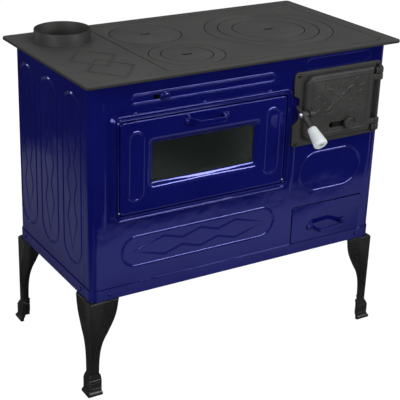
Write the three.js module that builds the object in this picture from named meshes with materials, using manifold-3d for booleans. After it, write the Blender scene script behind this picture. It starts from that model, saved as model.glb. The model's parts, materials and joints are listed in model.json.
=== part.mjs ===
import * as THREE from "three";
import { mergeVertices } from "three/addons/utils/BufferGeometryUtils.js";
import Module from "manifold-3d";

const wasm = await Module();
wasm.setup();

// A wood-fired cookstove with an oven, a firebox, an ash drawer and a cast-iron hob on four cabriole legs.
// Millimetres. X runs to the right, Y to the back and Z up, from the floor under the middle of the stove.

// Overall sizes
const hobWidth = 850;
const hobDepth = 467;
const hobHeight = 769.5;
const legHeight = 242;
const sideOverhang = 21;
const frontOverhang = 26;
const rearOverhang = 30.5;

// Clearances and sheet
const seatGap = 0.3;
const runningGap = 1;
const cutOverrun = 2;
const sheet = 1.6;
const thinSheet = 1.2;
const embossDepth = 0.8;
const embossLine = 4;
const cornerRadius = 18;
const wrapReturn = 35.5;
const backReturn = 30;

// Hob castings
const plateThickness = 8;
const plateCornerRadius = 10;
const rebateLedge = 3.5;
const rebateWidth = 8;
const flueTableWidth = 215;
const hobPlateRightMargin = 41;
const hobPlateFrontMargin = 28.5;
const hobPlateRearMargin = 29.5;
const lidRadiusShare = 0.2176;
const frontLidShare = 0.68;
const middleRingShare = 0.7875;
const bigLidShare = 0.5625;
const lidLeftMargin = 17;
const lidRearMargin = 22.5;
const lidFrontMargin = 10.5;
const bigRingRightMargin = 28;
const bigRingLeftMargin = 51;
const bigRingRim = 44;
const ringLedge = 6;
const ringGap = 0.8;
const lifterSlotLength = 26;
const lifterSlotWidth = 11;
const lifterSlotDepth = 5;
const reliefWidth = 120;
const reliefDepthShare = 0.332;
const reliefPitchShare = 0.193;
const reliefCentreShare = 0.181;
const reliefAcrossShare = 0.52;
const reliefHeight = 1.2;
const reliefLine = 4;

// Flue collar
const collarAcrossShare = 0.544;
const collarBackShare = 0.287;
const collarRadius = 68.8;
const collarWall = 3.3;
const collarHeight = 29;
const collarFillet = 4;
const collarSpigot = 7.5;

// Plinth and floor sheet
const plinthHeight = 27.5;
const plinthSheet = 1.8;
const screwHeadRadius = 4;
const screwHeadHeight = 2.2;
const screwCrownShare = 0.6;
const screwShankRadius = 2;
const screwShankLength = 6;
const screwHoleGap = 0.6;
const plinthScrewInset = 45.5;
const plinthSideScrewInset = 19.5;
const plinthRearScrewInset = 35;

// Legs
const legWall = 7;
const legTopReach = 74;
const legProud = 3;
const ankleReach = 23;
const legPadThickness = 6;
const footHeight = 10;
const footReach = 39;
const footWall = 9;
const footCornerOut = 17;
const neckHeight = 9;
const neckReach = 31;
const neckWall = 9;
const neckCornerOut = 11;
const footBlockHeight = 22;
const footBlockReach = 33;
const footBlockWall = 10;
const footBlockCornerOut = 12.5;
const footSlopeHeight = 15;

// Pressed lines of the front and side panels, as shares of the panel or of the piece that they go with
const slimTrackWidth = 10;
const slimTrackBottomShare = 0.3178;
const slimTrackLengthShare = 0.6023;
const slimTrackMargin = 8.5;
const slimTrackFireShare = 0.459;
const damperTrackLengthShare = 0.86;
const damperTrackHeight = 22;
const damperTrackShare = 0.9133;
const lowerTrackLengthShare = 0.9549;
const lowerTrackHeightShare = 0.1516;
const lowerTrackShare = 0.2084;
const crownTrackLengthShare = 0.751;
const crownTrackHeight = 33;
const crownTrackShare = 0.9482;
const ovalLengthShare = 0.7354;
const ovalHeightShare = 0.2022;
const ovalShare = 0.4112;
const diamondLengthShare = 0.387;
const diamondPitchShare = 0.2335;
const diamondWidth = 49.5;
const diamondLine = 3;
const sideTrackWidthShare = 0.2363;
const sideTrackLengthShare = 0.8012;
const sideTrackShare = 0.5249;
const sideTrackPitchShare = 0.3021;
const sideTrackMiddleShare = 0.0347;

// Oven door and its surround
const ovenCentreShare = 0.1417;
const ovenDoorWidthShare = 0.5483;
const ovenDoorHeightShare = 0.4247;
const ovenDoorBottomShare = 0.4018;
const ovenDoorGap = 2;
const ovenDoorProud = 10.6;
const ovenDoorDepth = 14;
const ovenDoorCorner = 8;
const surroundMargin = 19;
const surroundSlope = 7;
const surroundCorner = 22;
const windowWidthShare = 0.6185;
const windowHeightShare = 0.425;
const windowCentreShare = 0.5134;
const bevelWidth = 13;
const bevelBottom = 17;
const bevelDepth = 8.5;
const glassThickness = 4;
const glassLap = 8;
const linerLip = 5;
const ovenHingeRadius = 2;
const ovenHingeRise = 6;
const hingeHoleGap = 0.35;
const doorTrackWidth = 39;
const doorTrackLengthShare = 0.75;
const doorTrackInset = 39.4;

// Strap handles
const handleSpan = 103;
const handleReach = 28;
const handleStrap = 3;
const handleWidth = 12;
const handleFoot = 14;
const handleSlopeRun = 9;
const ovenHandleDrop = 20;

// Oven box
const ovenMouthMargin = 11;
const ovenMouthSetback = 12;
const ovenRearGap = 38;
const ovenFlange = 20;
const shelfHeightShare = 0.82;
const shelfRod = 5;
const shelfBars = 9;
const shelfLedgeReach = 9;
const shelfLedge = 3;
const shelfRearGap = 20;

// Firebox front casting
const frameCentreShare = 0.3191;
const frameWidthShare = 0.3181;
const frameHeightShare = 0.3582;
const frameBottomShare = 0.5616;
const frameThickness = 6;
const frameCorner = 10;
const fireMouthWidthShare = 0.654;
const fireMouthHeightShare = 0.656;
const fireMouthShare = 0.516;
const notchDepth = 17;
const notchBottomShare = 0.306;
const notchHeightShare = 0.392;
const notchSlope = 8;
const frameScrewInset = 11.5;
const frameScrewDrop = 7.5;

// Firebox door
const fireDoorWidthShare = 0.778;
const fireDoorLeft = 27.5;
const fireDoorBottom = 14;
const fireDoorTop = 9;
const fireDoorThickness = 14;
const fireDoorWall = 6;
const fireDoorCorner = 24;
const fireDoorRim = 9;
const fireDoorEdge = 2.5;
const borderInset = 12;
const borderHingeInset = 16;
const borderLine = 3;
const borderHeight = 1;
const lugHeight = 15;
const lugRadius = 8;
const lugReach = 14;
const upperLugDrop = 21;
const lowerLugRise = 14;
const hingeRodRadius = 4;
const hingeRodInset = 10;
const hingeRodOut = 9;
const hingeRodHead = 6;
const hingeRodHeadHeight = 3;
const baffleWidthShare = 0.833;
const baffleHeightShare = 0.787;
const baffleThickness = 3;
const baffleBossRadius = 7;
const baffleBossSpacingShare = 0.571;
const baffleBossShare = 0.602;

// Air slider
const airSlotLengthShare = 0.2957;
const airSlotHeight = 14;
const airSlotX = 8.5;
const airSliderRestShare = 0.237;
const airPlateLap = 4;
const airPlateRise = 9.6;
const airPlateHeight = 26;
const airPlateThickness = 3;
const airKnobRadius = 14;
const airKnobHeight = 9;
const airStemRadius = 5;

// Door latch
const latchPinLeft = 1.5;
const latchPinLength = 40;
const latchPinRadius = 3;
const latchPinHead = 4.5;
const latchPinHeadLength = 2.5;
const latchShare = 0.478;
const latchOut = 29;
const latchHubRadius = 9;
const latchHubLength = 17;
const latchHubGap = 2;
const latchBossLength = 11;
const latchArmWidth = 11;
const latchArmHeight = 8;
const latchArmLength = 40.5;
const latchNoseLength = 27;
const latchNoseWidth = 7;
const latchNoseHeight = 6;
const latchTilt = 35.5;
const gripLength = 50;
const gripRootRadius = 11;
const gripTipRadius = 17;
const gripRounding = 6;
const gripRoundingShare = 0.3;
const gripHoleRadius = 6;
const gripHoleDepth = 7;
const gripBore = 4.3;
const gripSpigotRadius = 4;

// Firebox lining
const chamberLeft = 6;
const chamberRight = 12;
const chamberRear = 22;
const brickThickness = 28;
const brickTopGap = 44;
const grateDrop = 53;
const grateThickness = 12;
const grateSlots = 9;
const grateSlotWidth = 9;
const grateSlotMargin = 51;
const chuteWall = 2;
const chuteLedge = 10;
const chuteLedgeDrop = 2;
const chuteFrontGap = 5;

// Ash drawer
const drawerWidthShare = 0.2599;
const drawerHeightShare = 0.1862;
const drawerGap = 1.2;
const drawerRise = 0.8;
const drawerProud = 2;
const drawerFrontThickness = 3;
const drawerTrayMargin = 7;
const drawerTrayDrop = 15;
const drawerRearGap = 70;
const drawerHandleShare = 0.372;

// Damper
const damperShare = 0.2381;
const damperKnobRadius = 12.5;
const damperKnobHeight = 9;
const damperCrownShare = 0.84;
const damperStemRadius = 4;
const damperTravel = 24;
const damperSlotHeight = 10;
const damperTabWidth = 20;
const damperTabThickness = 2;
const damperFlapWidth = 36;
const damperFlapDepthShare = 0.7;
const damperArmDepth = 16;
const dividerDropShare = 0.1348;
const dividerPortWidth = 20;
const dividerPortDepthShare = 0.63;
const dividerPortInset = 6;

// Finishes
const enamel = new THREE.MeshStandardMaterial({ color: 0x0b0c50, roughness: 0.18, metalness: 0.0 });
const castIron = new THREE.MeshStandardMaterial({ color: 0x46464a, roughness: 0.62, metalness: 0.35 });
const doorIron = new THREE.MeshStandardMaterial({ color: 0x343332, roughness: 0.66, metalness: 0.35 });
const blackPaint = new THREE.MeshStandardMaterial({ color: 0x1f2121, roughness: 0.35, metalness: 0.1 });
const darkSteel = new THREE.MeshStandardMaterial({ color: 0x2b2e2c, roughness: 0.5, metalness: 0.5 });
const brightSteel = new THREE.MeshStandardMaterial({ color: 0xc9ccce, roughness: 0.25, metalness: 1.0 });
const ceramic = new THREE.MeshStandardMaterial({ color: 0xdfe3e3, roughness: 0.2, metalness: 0.0 });
const firebrick = new THREE.MeshStandardMaterial({ color: 0xb9a27e, roughness: 0.95, metalness: 0.0 });
const ovenGlass = new THREE.MeshStandardMaterial({ color: 0x1d2421, roughness: 0.05, metalness: 0.0 });
ovenGlass.transparent = true;
ovenGlass.opacity = 0.4;

// Edges of the body that the pieces share
const bodyWidth = hobWidth - 2 * sideOverhang;
const bodyLeft = -bodyWidth / 2;
const bodyRight = bodyWidth / 2;
const bodyFront = -hobDepth / 2 + frontOverhang;
const bodyBack = hobDepth / 2 - rearOverhang;
const bodyDepth = bodyBack - bodyFront;
const bodyBottom = legHeight;
const plateBottom = hobHeight - plateThickness;
const bodyTop = plateBottom - seatGap;
const bodyHeight = bodyTop - bodyBottom;
const wrapBack = bodyFront + wrapReturn;
const plinthTop = bodyBottom + plinthHeight;

// Sizes and places on the front, from those of the body
const ovenX = -bodyWidth * ovenCentreShare;
const ovenDoorWidth = bodyWidth * ovenDoorWidthShare;
const ovenDoorHeight = bodyHeight * ovenDoorHeightShare;
const ovenDoorLow = bodyBottom + bodyHeight * ovenDoorBottomShare;
const windowWidth = ovenDoorWidth * windowWidthShare;
const windowHeight = ovenDoorHeight * windowHeightShare;
const ovenMouthWidth = ovenDoorWidth - 2 * ovenMouthMargin;
const ovenMouthHeight = ovenDoorHeight - 2 * ovenMouthMargin;
const frameX = bodyWidth * frameCentreShare;
const frameWidth = bodyWidth * frameWidthShare;
const frameHeight = bodyHeight * frameHeightShare;
const frameLow = bodyBottom + bodyHeight * frameBottomShare;
const fireMouthWidth = frameWidth * fireMouthWidthShare;
const fireMouthHeight = frameHeight * fireMouthHeightShare;
const fireDoorWidth = frameWidth * fireDoorWidthShare;
const fireDoorHeight = frameHeight - fireDoorBottom - fireDoorTop;
const airSlotLength = frameWidth * airSlotLengthShare;
const drawerX = frameX;
const drawerWidth = bodyWidth * drawerWidthShare;
const drawerHeight = bodyHeight * drawerHeightShare;
const drawerLow = plinthTop + drawerRise;
const damperX = ovenX - ovenDoorWidth * damperShare;
const damperTrackZ = bodyBottom + bodyHeight * damperTrackShare;

const stove = new THREE.Group();

// One body from a closed three.js geometry
function solid(geometry) {
  const bare = geometry.index ? geometry.toNonIndexed() : geometry.clone();
  bare.deleteAttribute("normal");
  bare.deleteAttribute("uv");
  const merged = mergeVertices(bare);
  const corners = Array.from(merged.index.array);
  const faces = [];
  for (let i = 0; i < corners.length; i += 3) {
    const [a, b, c] = corners.slice(i, i + 3);
    if (a !== b && b !== c && c !== a) faces.push(a, b, c);
  }
  const mesh = new wasm.Mesh({
    numProp: 3,
    vertProperties: new Float32Array(merged.attributes.position.array),
    triVerts: new Uint32Array(faces),
  });
  return new wasm.Manifold(mesh);
}

// The three.js geometry of a joined or cut body
function geometryOf(body) {
  const mesh = body.getMesh();
  const geometry = new THREE.BufferGeometry();
  geometry.setAttribute("position", new THREE.BufferAttribute(mesh.vertProperties, 3));
  geometry.setIndex(new THREE.BufferAttribute(mesh.triVerts, 1));
  return geometry;
}

function addPiece(name, body, material, parent = stove) {
  const geometry = body.isBufferGeometry ? body : geometryOf(body);
  const piece = new THREE.Mesh(geometry, material);
  piece.name = name;
  parent.add(piece);
  return piece;
}

// A shape drawn in (x, y) pulled up from one height to another
function pullUp(shape, from, to, segments = 4) {
  const geometry = new THREE.ExtrudeGeometry(shape, {
    depth: to - from,
    bevelEnabled: false,
    curveSegments: segments,
  });
  return geometry.translate(0, 0, from);
}

// A shape drawn in (x, z), filling the depth between two y values
function pullBack(shape, front, back, segments = 4) {
  const geometry = pullUp(shape, 0, back - front, segments);
  geometry.rotateX(Math.PI / 2);
  return geometry.translate(0, back, 0);
}

// A shape drawn in (y, z), filling the width between two x values
function pullAcross(shape, left, right, segments = 4) {
  const geometry = pullUp(shape, 0, right - left, segments);
  geometry.rotateX(Math.PI / 2);
  geometry.rotateZ(Math.PI / 2);
  return geometry.translate(left, 0, 0);
}

function box(left, right, front, back, bottom, top) {
  const geometry = new THREE.BoxGeometry(right - left, back - front, top - bottom);
  return geometry.translate((left + right) / 2, (front + back) / 2, (bottom + top) / 2);
}

// A rectangle about a centre, with round corners where a radius is given
function rectangle(centreU, centreV, width, height, radius = 0) {
  const left = centreU - width / 2;
  const right = centreU + width / 2;
  const low = centreV - height / 2;
  const high = centreV + height / 2;
  const shape = new THREE.Shape();
  if (radius === 0) {
    shape.moveTo(left, low).lineTo(right, low).lineTo(right, high).lineTo(left, high);
    return shape;
  }
  shape.moveTo(left + radius, low);
  shape.absarc(right - radius, low + radius, radius, -Math.PI / 2, 0);
  shape.absarc(right - radius, high - radius, radius, 0, Math.PI / 2);
  shape.absarc(left + radius, high - radius, radius, Math.PI / 2, Math.PI);
  shape.absarc(left + radius, low + radius, radius, Math.PI, 1.5 * Math.PI);
  return shape;
}

// A bar with round ends, lying or standing by its longer side
function track(centreU, centreV, width, height) {
  const radius = Math.min(width, height) / 2;
  const shape = new THREE.Shape();
  if (width > height) {
    shape.absarc(centreU + width / 2 - radius, centreV, radius, -Math.PI / 2, Math.PI / 2);
    shape.absarc(centreU - width / 2 + radius, centreV, radius, Math.PI / 2, 1.5 * Math.PI);
  } else {
    shape.absarc(centreU, centreV + height / 2 - radius, radius, 0, Math.PI);
    shape.absarc(centreU, centreV - height / 2 + radius, radius, Math.PI, 2 * Math.PI);
  }
  return shape;
}

// What lies between an outline and a smaller one inside it
function band(outer, inner, pull) {
  return solid(pull(outer)).subtract(solid(pull(inner)));
}

// The pressed outline of a track
function trackLine(centreU, centreV, width, height, pull) {
  const inner = track(centreU, centreV, width - 2 * embossLine, height - 2 * embossLine);
  return band(track(centreU, centreV, width, height), inner, pull);
}

// The outline of three diamonds that run into each other in a track, along u or standing along v
function diamondPath(centreU, centreV, trackLength, inset, standing) {
  const length = trackLength * diamondLengthShare;
  const pitch = trackLength * diamondPitchShare;
  const slope = diamondWidth / length;
  const slant = inset * Math.hypot(1, slope);
  const half = length / 2 - slant / slope;
  const high = diamondWidth / 2 - slant;
  const waist = high - (pitch / 2) * slope;
  const upper = [[-pitch - half, 0]];
  for (const place of [-1, 0, 1]) {
    upper.push([place * pitch, high]);
    if (place < 1) upper.push([(place + 0.5) * pitch, waist]);
  }
  upper.push([pitch + half, 0]);
  const lower = upper.slice(1, -1).reverse().map(([along, across]) => [along, -across]);
  return [...upper, ...lower].map(([along, across]) => {
    return standing
      ? new THREE.Vector2(centreU + across, centreV + along)
      : new THREE.Vector2(centreU + along, centreV + across);
  });
}

function diamondLines(centreU, centreV, trackLength, pull, standing = false) {
  const outer = new THREE.Shape(diamondPath(centreU, centreV, trackLength, 0, standing));
  const inner = new THREE.Shape(diamondPath(centreU, centreV, trackLength, diamondLine, standing));
  return band(outer, inner, pull);
}

function disc(centreU, centreV, radius) {
  const shape = new THREE.Shape();
  shape.absarc(centreU, centreV, radius, 0, 2 * Math.PI);
  return shape;
}

// Points of a shape, for a body that changes its outline along its depth
function outline(shape, segments = 4) {
  const points = shape.extractPoints(segments).shape;
  const closed = points[0].distanceTo(points[points.length - 1]) < seatGap / 10;
  return closed ? points.slice(0, -1) : points;
}

// A body between two outlines of as many points, standing one behind the other along y
function taper(frontOutline, front, backOutline, back) {
  const count = frontOutline.length;
  const positions = [];
  for (const point of frontOutline) positions.push(point.x, front, point.y);
  for (const point of backOutline) positions.push(point.x, back, point.y);
  const faces = [];
  for (const [a, b, c] of THREE.ShapeUtils.triangulateShape(frontOutline, [])) faces.push(a, b, c);
  for (const [a, b, c] of THREE.ShapeUtils.triangulateShape(backOutline, [])) {
    faces.push(count + c, count + b, count + a);
  }
  for (let i = 0; i < count; i += 1) {
    const next = (i + 1) % count;
    faces.push(i, count + i, count + next, i, count + next, next);
  }
  const geometry = new THREE.BufferGeometry();
  geometry.setAttribute("position", new THREE.Float32BufferAttribute(positions, 3));
  geometry.setIndex(faces);
  return geometry;
}

// A turned piece from its profile of radius and height, drawn upward along the outside
function turned(profile, segments) {
  const points = profile.map(([radius, height]) => new THREE.Vector2(radius, height));
  if (profile[0][0] > 0) points.push(points[0].clone());
  const geometry = new THREE.LatheGeometry(points, segments);
  return geometry.rotateX(Math.PI / 2);
}

function rod(radius, length, segments = 12) {
  return new THREE.CylinderGeometry(radius, radius, length, segments);
}

// Openings and places on the front that several pieces share
const ovenZ = ovenDoorLow + ovenDoorHeight / 2;
const ovenOpeningWidth = ovenDoorWidth + 2 * ovenDoorGap;
const ovenOpeningHeight = ovenDoorHeight + 2 * ovenDoorGap;
const ovenFaceY = bodyFront - ovenDoorProud;
const ovenMouthY = bodyFront + ovenMouthSetback;
const frameZ = frameLow + frameHeight / 2;
const frameLeft = frameX - frameWidth / 2;
const frameFaceY = bodyFront - seatGap - frameThickness;
const fireMouthCentreZ = frameLow + frameHeight * fireMouthShare;
const drawerZ = drawerLow + drawerHeight / 2;
const screwHole = screwShankRadius + screwHoleGap;
const frameScrews = [-1, 1].flatMap((side) => [-1, 1].map((end) => ({
  x: frameX + side * (frameWidth / 2 - frameScrewInset),
  z: frameZ + end * (frameHeight / 2 - frameScrewDrop),
})));
const plinthScrewZ = bodyBottom + plinthHeight / 2;
const plinthFrontScrews = [bodyLeft + plinthScrewInset, bodyRight - plinthScrewInset];
const plinthSideScrews = [wrapBack + plinthSideScrewInset, bodyBack - plinthRearScrewInset];
const damperSlotLeft = damperX - damperTravel - damperStemRadius - runningGap;
const damperSlotRight = damperX + damperStemRadius + runningGap;

// A sheet bent round both front corners, seen from above, standing out from the body
function wrapShape(standOut, thickness) {
  const outer = cornerRadius + standOut;
  const inner = outer - thickness;
  const leftX = bodyLeft + cornerRadius;
  const rightX = bodyRight - cornerRadius;
  const bendY = bodyFront + cornerRadius;
  const shape = new THREE.Shape();
  shape.moveTo(leftX - outer, wrapBack);
  shape.lineTo(leftX - outer, bendY);
  shape.absarc(leftX, bendY, outer, Math.PI, 1.5 * Math.PI);
  shape.absarc(rightX, bendY, outer, 1.5 * Math.PI, 2 * Math.PI);
  shape.lineTo(rightX + outer, wrapBack);
  shape.lineTo(rightX + inner, wrapBack);
  shape.absarc(rightX, bendY, inner, 2 * Math.PI, 1.5 * Math.PI, true);
  shape.absarc(leftX, bendY, inner, 1.5 * Math.PI, Math.PI, true);
  shape.lineTo(leftX - inner, wrapBack);
  return shape;
}

// A sheet bent round a rear corner, seen from above: one side and the edge of the back
function sideShape(facing, standOut, thickness) {
  const outer = cornerRadius + standOut;
  const inner = outer - thickness;
  const bendX = bodyRight - cornerRadius;
  const bendY = bodyBack - cornerRadius;
  const shape = new THREE.Shape();
  shape.moveTo(bendX + inner, wrapBack + seatGap);
  shape.lineTo(bendX + outer, wrapBack + seatGap);
  shape.absarc(bendX, bendY, outer, 0, Math.PI / 2);
  shape.lineTo(bodyRight - backReturn, bendY + outer);
  shape.lineTo(bodyRight - backReturn, bendY + inner);
  shape.absarc(bendX, bendY, inner, Math.PI / 2, 0, true);
  return new THREE.Shape(outline(shape).map((point) => new THREE.Vector2(facing * point.x, point.y)));
}

function frontPanel() {
  let panel = solid(pullUp(wrapShape(0, sheet), bodyBottom, bodyTop));
  const mouthWidth = fireMouthWidth + 2 * runningGap;
  const mouthHeight = fireMouthHeight + 2 * runningGap;
  const ovenHoleWidth = ovenOpeningWidth + 2 * (sheet + seatGap);
  const ovenHoleHeight = ovenOpeningHeight + 2 * (sheet + seatGap);
  const drawerHole = [drawerWidth + 2 * drawerGap, drawerHeight + 2 * drawerGap];
  const slotLength = damperSlotRight - damperSlotLeft;
  const through = [
    rectangle(ovenX, ovenZ, ovenHoleWidth, ovenHoleHeight, ovenDoorCorner),
    rectangle(frameX, fireMouthCentreZ, mouthWidth, mouthHeight),
    rectangle(drawerX, drawerZ, ...drawerHole),
    track((damperSlotLeft + damperSlotRight) / 2, damperTrackZ, slotLength, damperSlotHeight),
    ...frameScrews.map(({ x, z }) => disc(x, z, screwHole)),
    ...plinthFrontScrews.map((x) => disc(x, plinthScrewZ, screwHole)),
  ];
  const slimLength = bodyHeight * slimTrackLengthShare;
  const slimZ = bodyBottom + bodyHeight * slimTrackBottomShare + slimLength / 2;
  const slimOffset = ovenDoorWidth / 2 + ovenDoorGap + surroundMargin + slimTrackMargin + slimTrackWidth / 2;
  const slimPlaces = [ovenX - slimOffset, ovenX + slimOffset, frameX + frameWidth * slimTrackFireShare];
  const lowerLength = ovenDoorWidth * lowerTrackLengthShare;
  const lowerZ = bodyBottom + bodyHeight * lowerTrackShare;
  const crownZ = bodyBottom + bodyHeight * crownTrackShare;
  const ovalZ = bodyBottom + bodyHeight * ovalShare;
  const ovalHeight = bodyHeight * ovalHeightShare;
  const press = (shape) => pullBack(shape, bodyFront - cutOverrun, bodyFront + embossDepth);
  const pressed = [
    solid(press(track(ovenX, damperTrackZ, ovenDoorWidth * damperTrackLengthShare, damperTrackHeight))),
    trackLine(ovenX, lowerZ, lowerLength, bodyHeight * lowerTrackHeightShare, press),
    diamondLines(ovenX, lowerZ, lowerLength, press),
    trackLine(frameX, crownZ, frameWidth * crownTrackLengthShare, crownTrackHeight, press),
    trackLine(frameX, ovalZ, frameWidth * ovalLengthShare, ovalHeight, press),
    ...slimPlaces.map((x) => solid(press(track(x, slimZ, slimTrackWidth, slimLength)))),
  ];
  for (const shape of through) {
    const tool = pullBack(shape, bodyFront - cutOverrun, bodyFront + sheet + cutOverrun);
    panel = panel.subtract(solid(tool));
  }
  return pressed.reduce((rest, tool) => rest.subtract(tool), panel);
}

// Side sheets bent round the rear corners, with three pressed tracks, each round a chain of diamonds
function sidePanel(facing) {
  const outerX = facing * bodyRight;
  const openX = outerX + facing * cutOverrun;
  const [pressLeft, pressRight] = [openX, outerX - facing * embossDepth].sort((a, b) => a - b);
  const [holeLeft, holeRight] = [openX, outerX - facing * (sheet + cutOverrun)].sort((a, b) => a - b);
  const middle = (bodyFront + bodyBack) / 2 + bodyDepth * sideTrackMiddleShare;
  const length = bodyHeight * sideTrackLengthShare;
  const z = bodyBottom + bodyHeight * sideTrackShare;
  const press = (shape) => pullAcross(shape, pressLeft, pressRight);
  let panel = solid(pullUp(sideShape(facing, 0, sheet), bodyBottom, bodyTop));
  for (const place of [-1, 0, 1]) {
    const y = middle + place * bodyDepth * sideTrackPitchShare;
    panel = panel
      .subtract(trackLine(y, z, bodyDepth * sideTrackWidthShare, length, press))
      .subtract(diamondLines(y, z, length, press, true));
  }
  for (const y of plinthSideScrews) {
    panel = panel.subtract(solid(pullAcross(disc(y, plinthScrewZ, screwHole), holeLeft, holeRight)));
  }
  return panel;
}

addPiece("front_panel", frontPanel(), enamel);
addPiece("left_side_panel", sidePanel(-1), enamel);
addPiece("right_side_panel", sidePanel(1), enamel);

// Plain back sheet between the bent edges of the side sheets
const insideLeft = bodyLeft + sheet + seatGap;
const insideRight = bodyRight - sheet - seatGap;
const backRight = bodyRight - backReturn - seatGap;
const backPanel = box(-backRight, backRight, bodyBack - sheet, bodyBack, bodyBottom, bodyTop);
addPiece("back_panel", backPanel, enamel);

// A level sheet inside the body, round at the left corners and, at full width, at the right ones
const insideFront = bodyFront + sheet + seatGap;
const insideBack = bodyBack - sheet - seatGap;

function insideShape(right) {
  const radius = cornerRadius - sheet - seatGap;
  const shape = new THREE.Shape();
  shape.absarc(insideLeft + radius, insideBack - radius, radius, Math.PI / 2, Math.PI);
  shape.absarc(insideLeft + radius, insideFront + radius, radius, Math.PI, 1.5 * Math.PI);
  if (right === insideRight) {
    shape.absarc(right - radius, insideFront + radius, radius, 1.5 * Math.PI, 2 * Math.PI);
    shape.absarc(right - radius, insideBack - radius, radius, 0, Math.PI / 2);
  } else {
    shape.lineTo(right, insideFront);
    shape.lineTo(right, insideBack);
  }
  return shape;
}

// Floor sheet inside the foot of the body
const floorTop = bodyBottom + sheet;
addPiece("floor_sheet", pullUp(insideShape(insideRight), bodyBottom, floorTop, 4), darkSteel);

// Plinth bands round the foot of the body, each held by two screws
const plinthOut = seatGap + plinthSheet;

function drilledAlongY(body, places, y) {
  return places.reduce((rest, x) => {
    const tool = pullBack(disc(x, plinthScrewZ, screwHole), y - cutOverrun, y + plinthOut + cutOverrun);
    return rest.subtract(solid(tool));
  }, body);
}

function plinthSide(facing) {
  const reach = [bodyRight - cutOverrun, bodyRight + plinthOut + cutOverrun];
  const [left, right] = reach.map((x) => facing * x).sort((a, b) => a - b);
  const bent = solid(pullUp(sideShape(facing, plinthOut, plinthSheet), bodyBottom, plinthTop));
  return plinthSideScrews.reduce((rest, y) => {
    return rest.subtract(solid(pullAcross(disc(y, plinthScrewZ, screwHole), left, right)));
  }, bent);
}

const plinthWrap = solid(pullUp(wrapShape(plinthOut, plinthSheet), bodyBottom, plinthTop));
addPiece("plinth_front", drilledAlongY(plinthWrap, plinthFrontScrews, bodyFront - plinthOut), enamel);
addPiece("plinth_left", plinthSide(-1), enamel);
addPiece("plinth_right", plinthSide(1), enamel);
const plinthBackFace = bodyBack + plinthOut;
const plinthBack = box(-backRight, backRight, bodyBack + seatGap, plinthBackFace, bodyBottom, plinthTop);
addPiece("plinth_back", plinthBack, enamel);

// Round-headed screws, drawn with the head upward and its seat at zero
function screw() {
  return turned([
    [0, -screwShankLength],
    [screwShankRadius, -screwShankLength],
    [screwShankRadius, 0],
    [screwHeadRadius, 0],
    [screwHeadRadius * screwCrownShare, screwHeadHeight],
    [0, screwHeadHeight],
  ], 8);
}

plinthFrontScrews.forEach((x, index) => {
  const piece = addPiece(`plinth_screw_front_${index + 1}`, screw(), blackPaint);
  piece.rotation.x = Math.PI / 2;
  piece.position.set(x, bodyFront - plinthOut - seatGap, plinthScrewZ);
});
[["left", bodyLeft - plinthOut - seatGap, -1], ["right", bodyRight + plinthOut + seatGap, 1]]
  .forEach(([side, x, facing]) => {
    plinthSideScrews.forEach((y, index) => {
      const piece = addPiece(`plinth_screw_${side}_${index + 1}`, screw(), blackPaint);
      piece.rotation.y = facing * Math.PI / 2;
      piece.position.set(x, y, plinthScrewZ);
    });
  });

// Cabriole legs: two cast walls that meet in a sharp outer edge, over a stepped foot of the same form
const legCurveShares = [
  [0, 0], [0.185, 0.025], [0.337, 0.095], [0.469, 0.25], [0.58, 0.48],
  [0.722, 0.745], [0.801, 0.86], [0.896, 0.945], [1, 1],
];
const footTop = footHeight + neckHeight + footBlockHeight + footSlopeHeight;

function legWallShape() {
  const rise = bodyBottom - seatGap - footTop;
  const swell = legTopReach - ankleReach;
  const places = legCurveShares.map(([up, out]) => {
    return new THREE.Vector2(ankleReach + out * swell, footTop + up * rise);
  });
  const curve = new THREE.SplineCurve(places).getPoints(14);
  return new THREE.Shape([new THREE.Vector2(0, footTop), ...curve, new THREE.Vector2(0, footTop + rise)]);
}

// Two arms that meet in the outer corner of a foot, seen from below
function footPlan(corner, reach, wall) {
  const [inner, end] = [corner + wall, corner + reach];
  const places = [[corner, end], [corner, corner], [end, corner], [end, inner], [inner, inner], [inner, end]];
  return places.map(([x, y]) => new THREE.Vector2(x, -y)).reverse();
}

// A step of the foot between two plans and two heights
function footStep(lower, bottom, upper, top) {
  return solid(taper(lower, bottom, upper, top).rotateX(Math.PI / 2));
}

function leg() {
  const wall = legWallShape();
  const legTop = bodyBottom - seatGap;
  const foot = footPlan(legProud - footCornerOut, footReach, footWall);
  const neck = footPlan(legProud - neckCornerOut, neckReach, neckWall);
  const block = footPlan(legProud - footBlockCornerOut, footBlockReach, footBlockWall);
  const ankle = footPlan(0, ankleReach, legWall);
  const neckTop = footHeight + neckHeight;
  const blockTop = neckTop + footBlockHeight;
  const pad = new THREE.Shape([
    new THREE.Vector2(0, 0),
    new THREE.Vector2(legTopReach, 0),
    new THREE.Vector2(0, legTopReach),
  ]);
  return solid(pullBack(wall, 0, legWall))
    .add(solid(pullAcross(wall, 0, legWall)))
    .add(solid(pullUp(pad, legTop - legPadThickness, legTop)))
    .add(footStep(foot, 0, foot, footHeight))
    .add(footStep(neck, footHeight, neck, neckTop))
    .add(footStep(block, neckTop, block, blockTop))
    .add(footStep(block, blockTop, ankle, footTop));
}

const legBody = leg();
const legOutX = bodyWidth / 2 + legProud;
[
  ["leg_front_left", -legOutX, bodyFront - legProud, 0],
  ["leg_front_right", legOutX, bodyFront - legProud, 0.5],
  ["leg_back_right", legOutX, bodyBack + legProud, 1],
  ["leg_back_left", -legOutX, bodyBack + legProud, 1.5],
].forEach(([name, x, y, halfTurns]) => {
  const piece = addPiece(name, legBody, blackPaint);
  piece.rotation.z = halfTurns * Math.PI;
  piece.position.set(x, y, 0);
});

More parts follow.
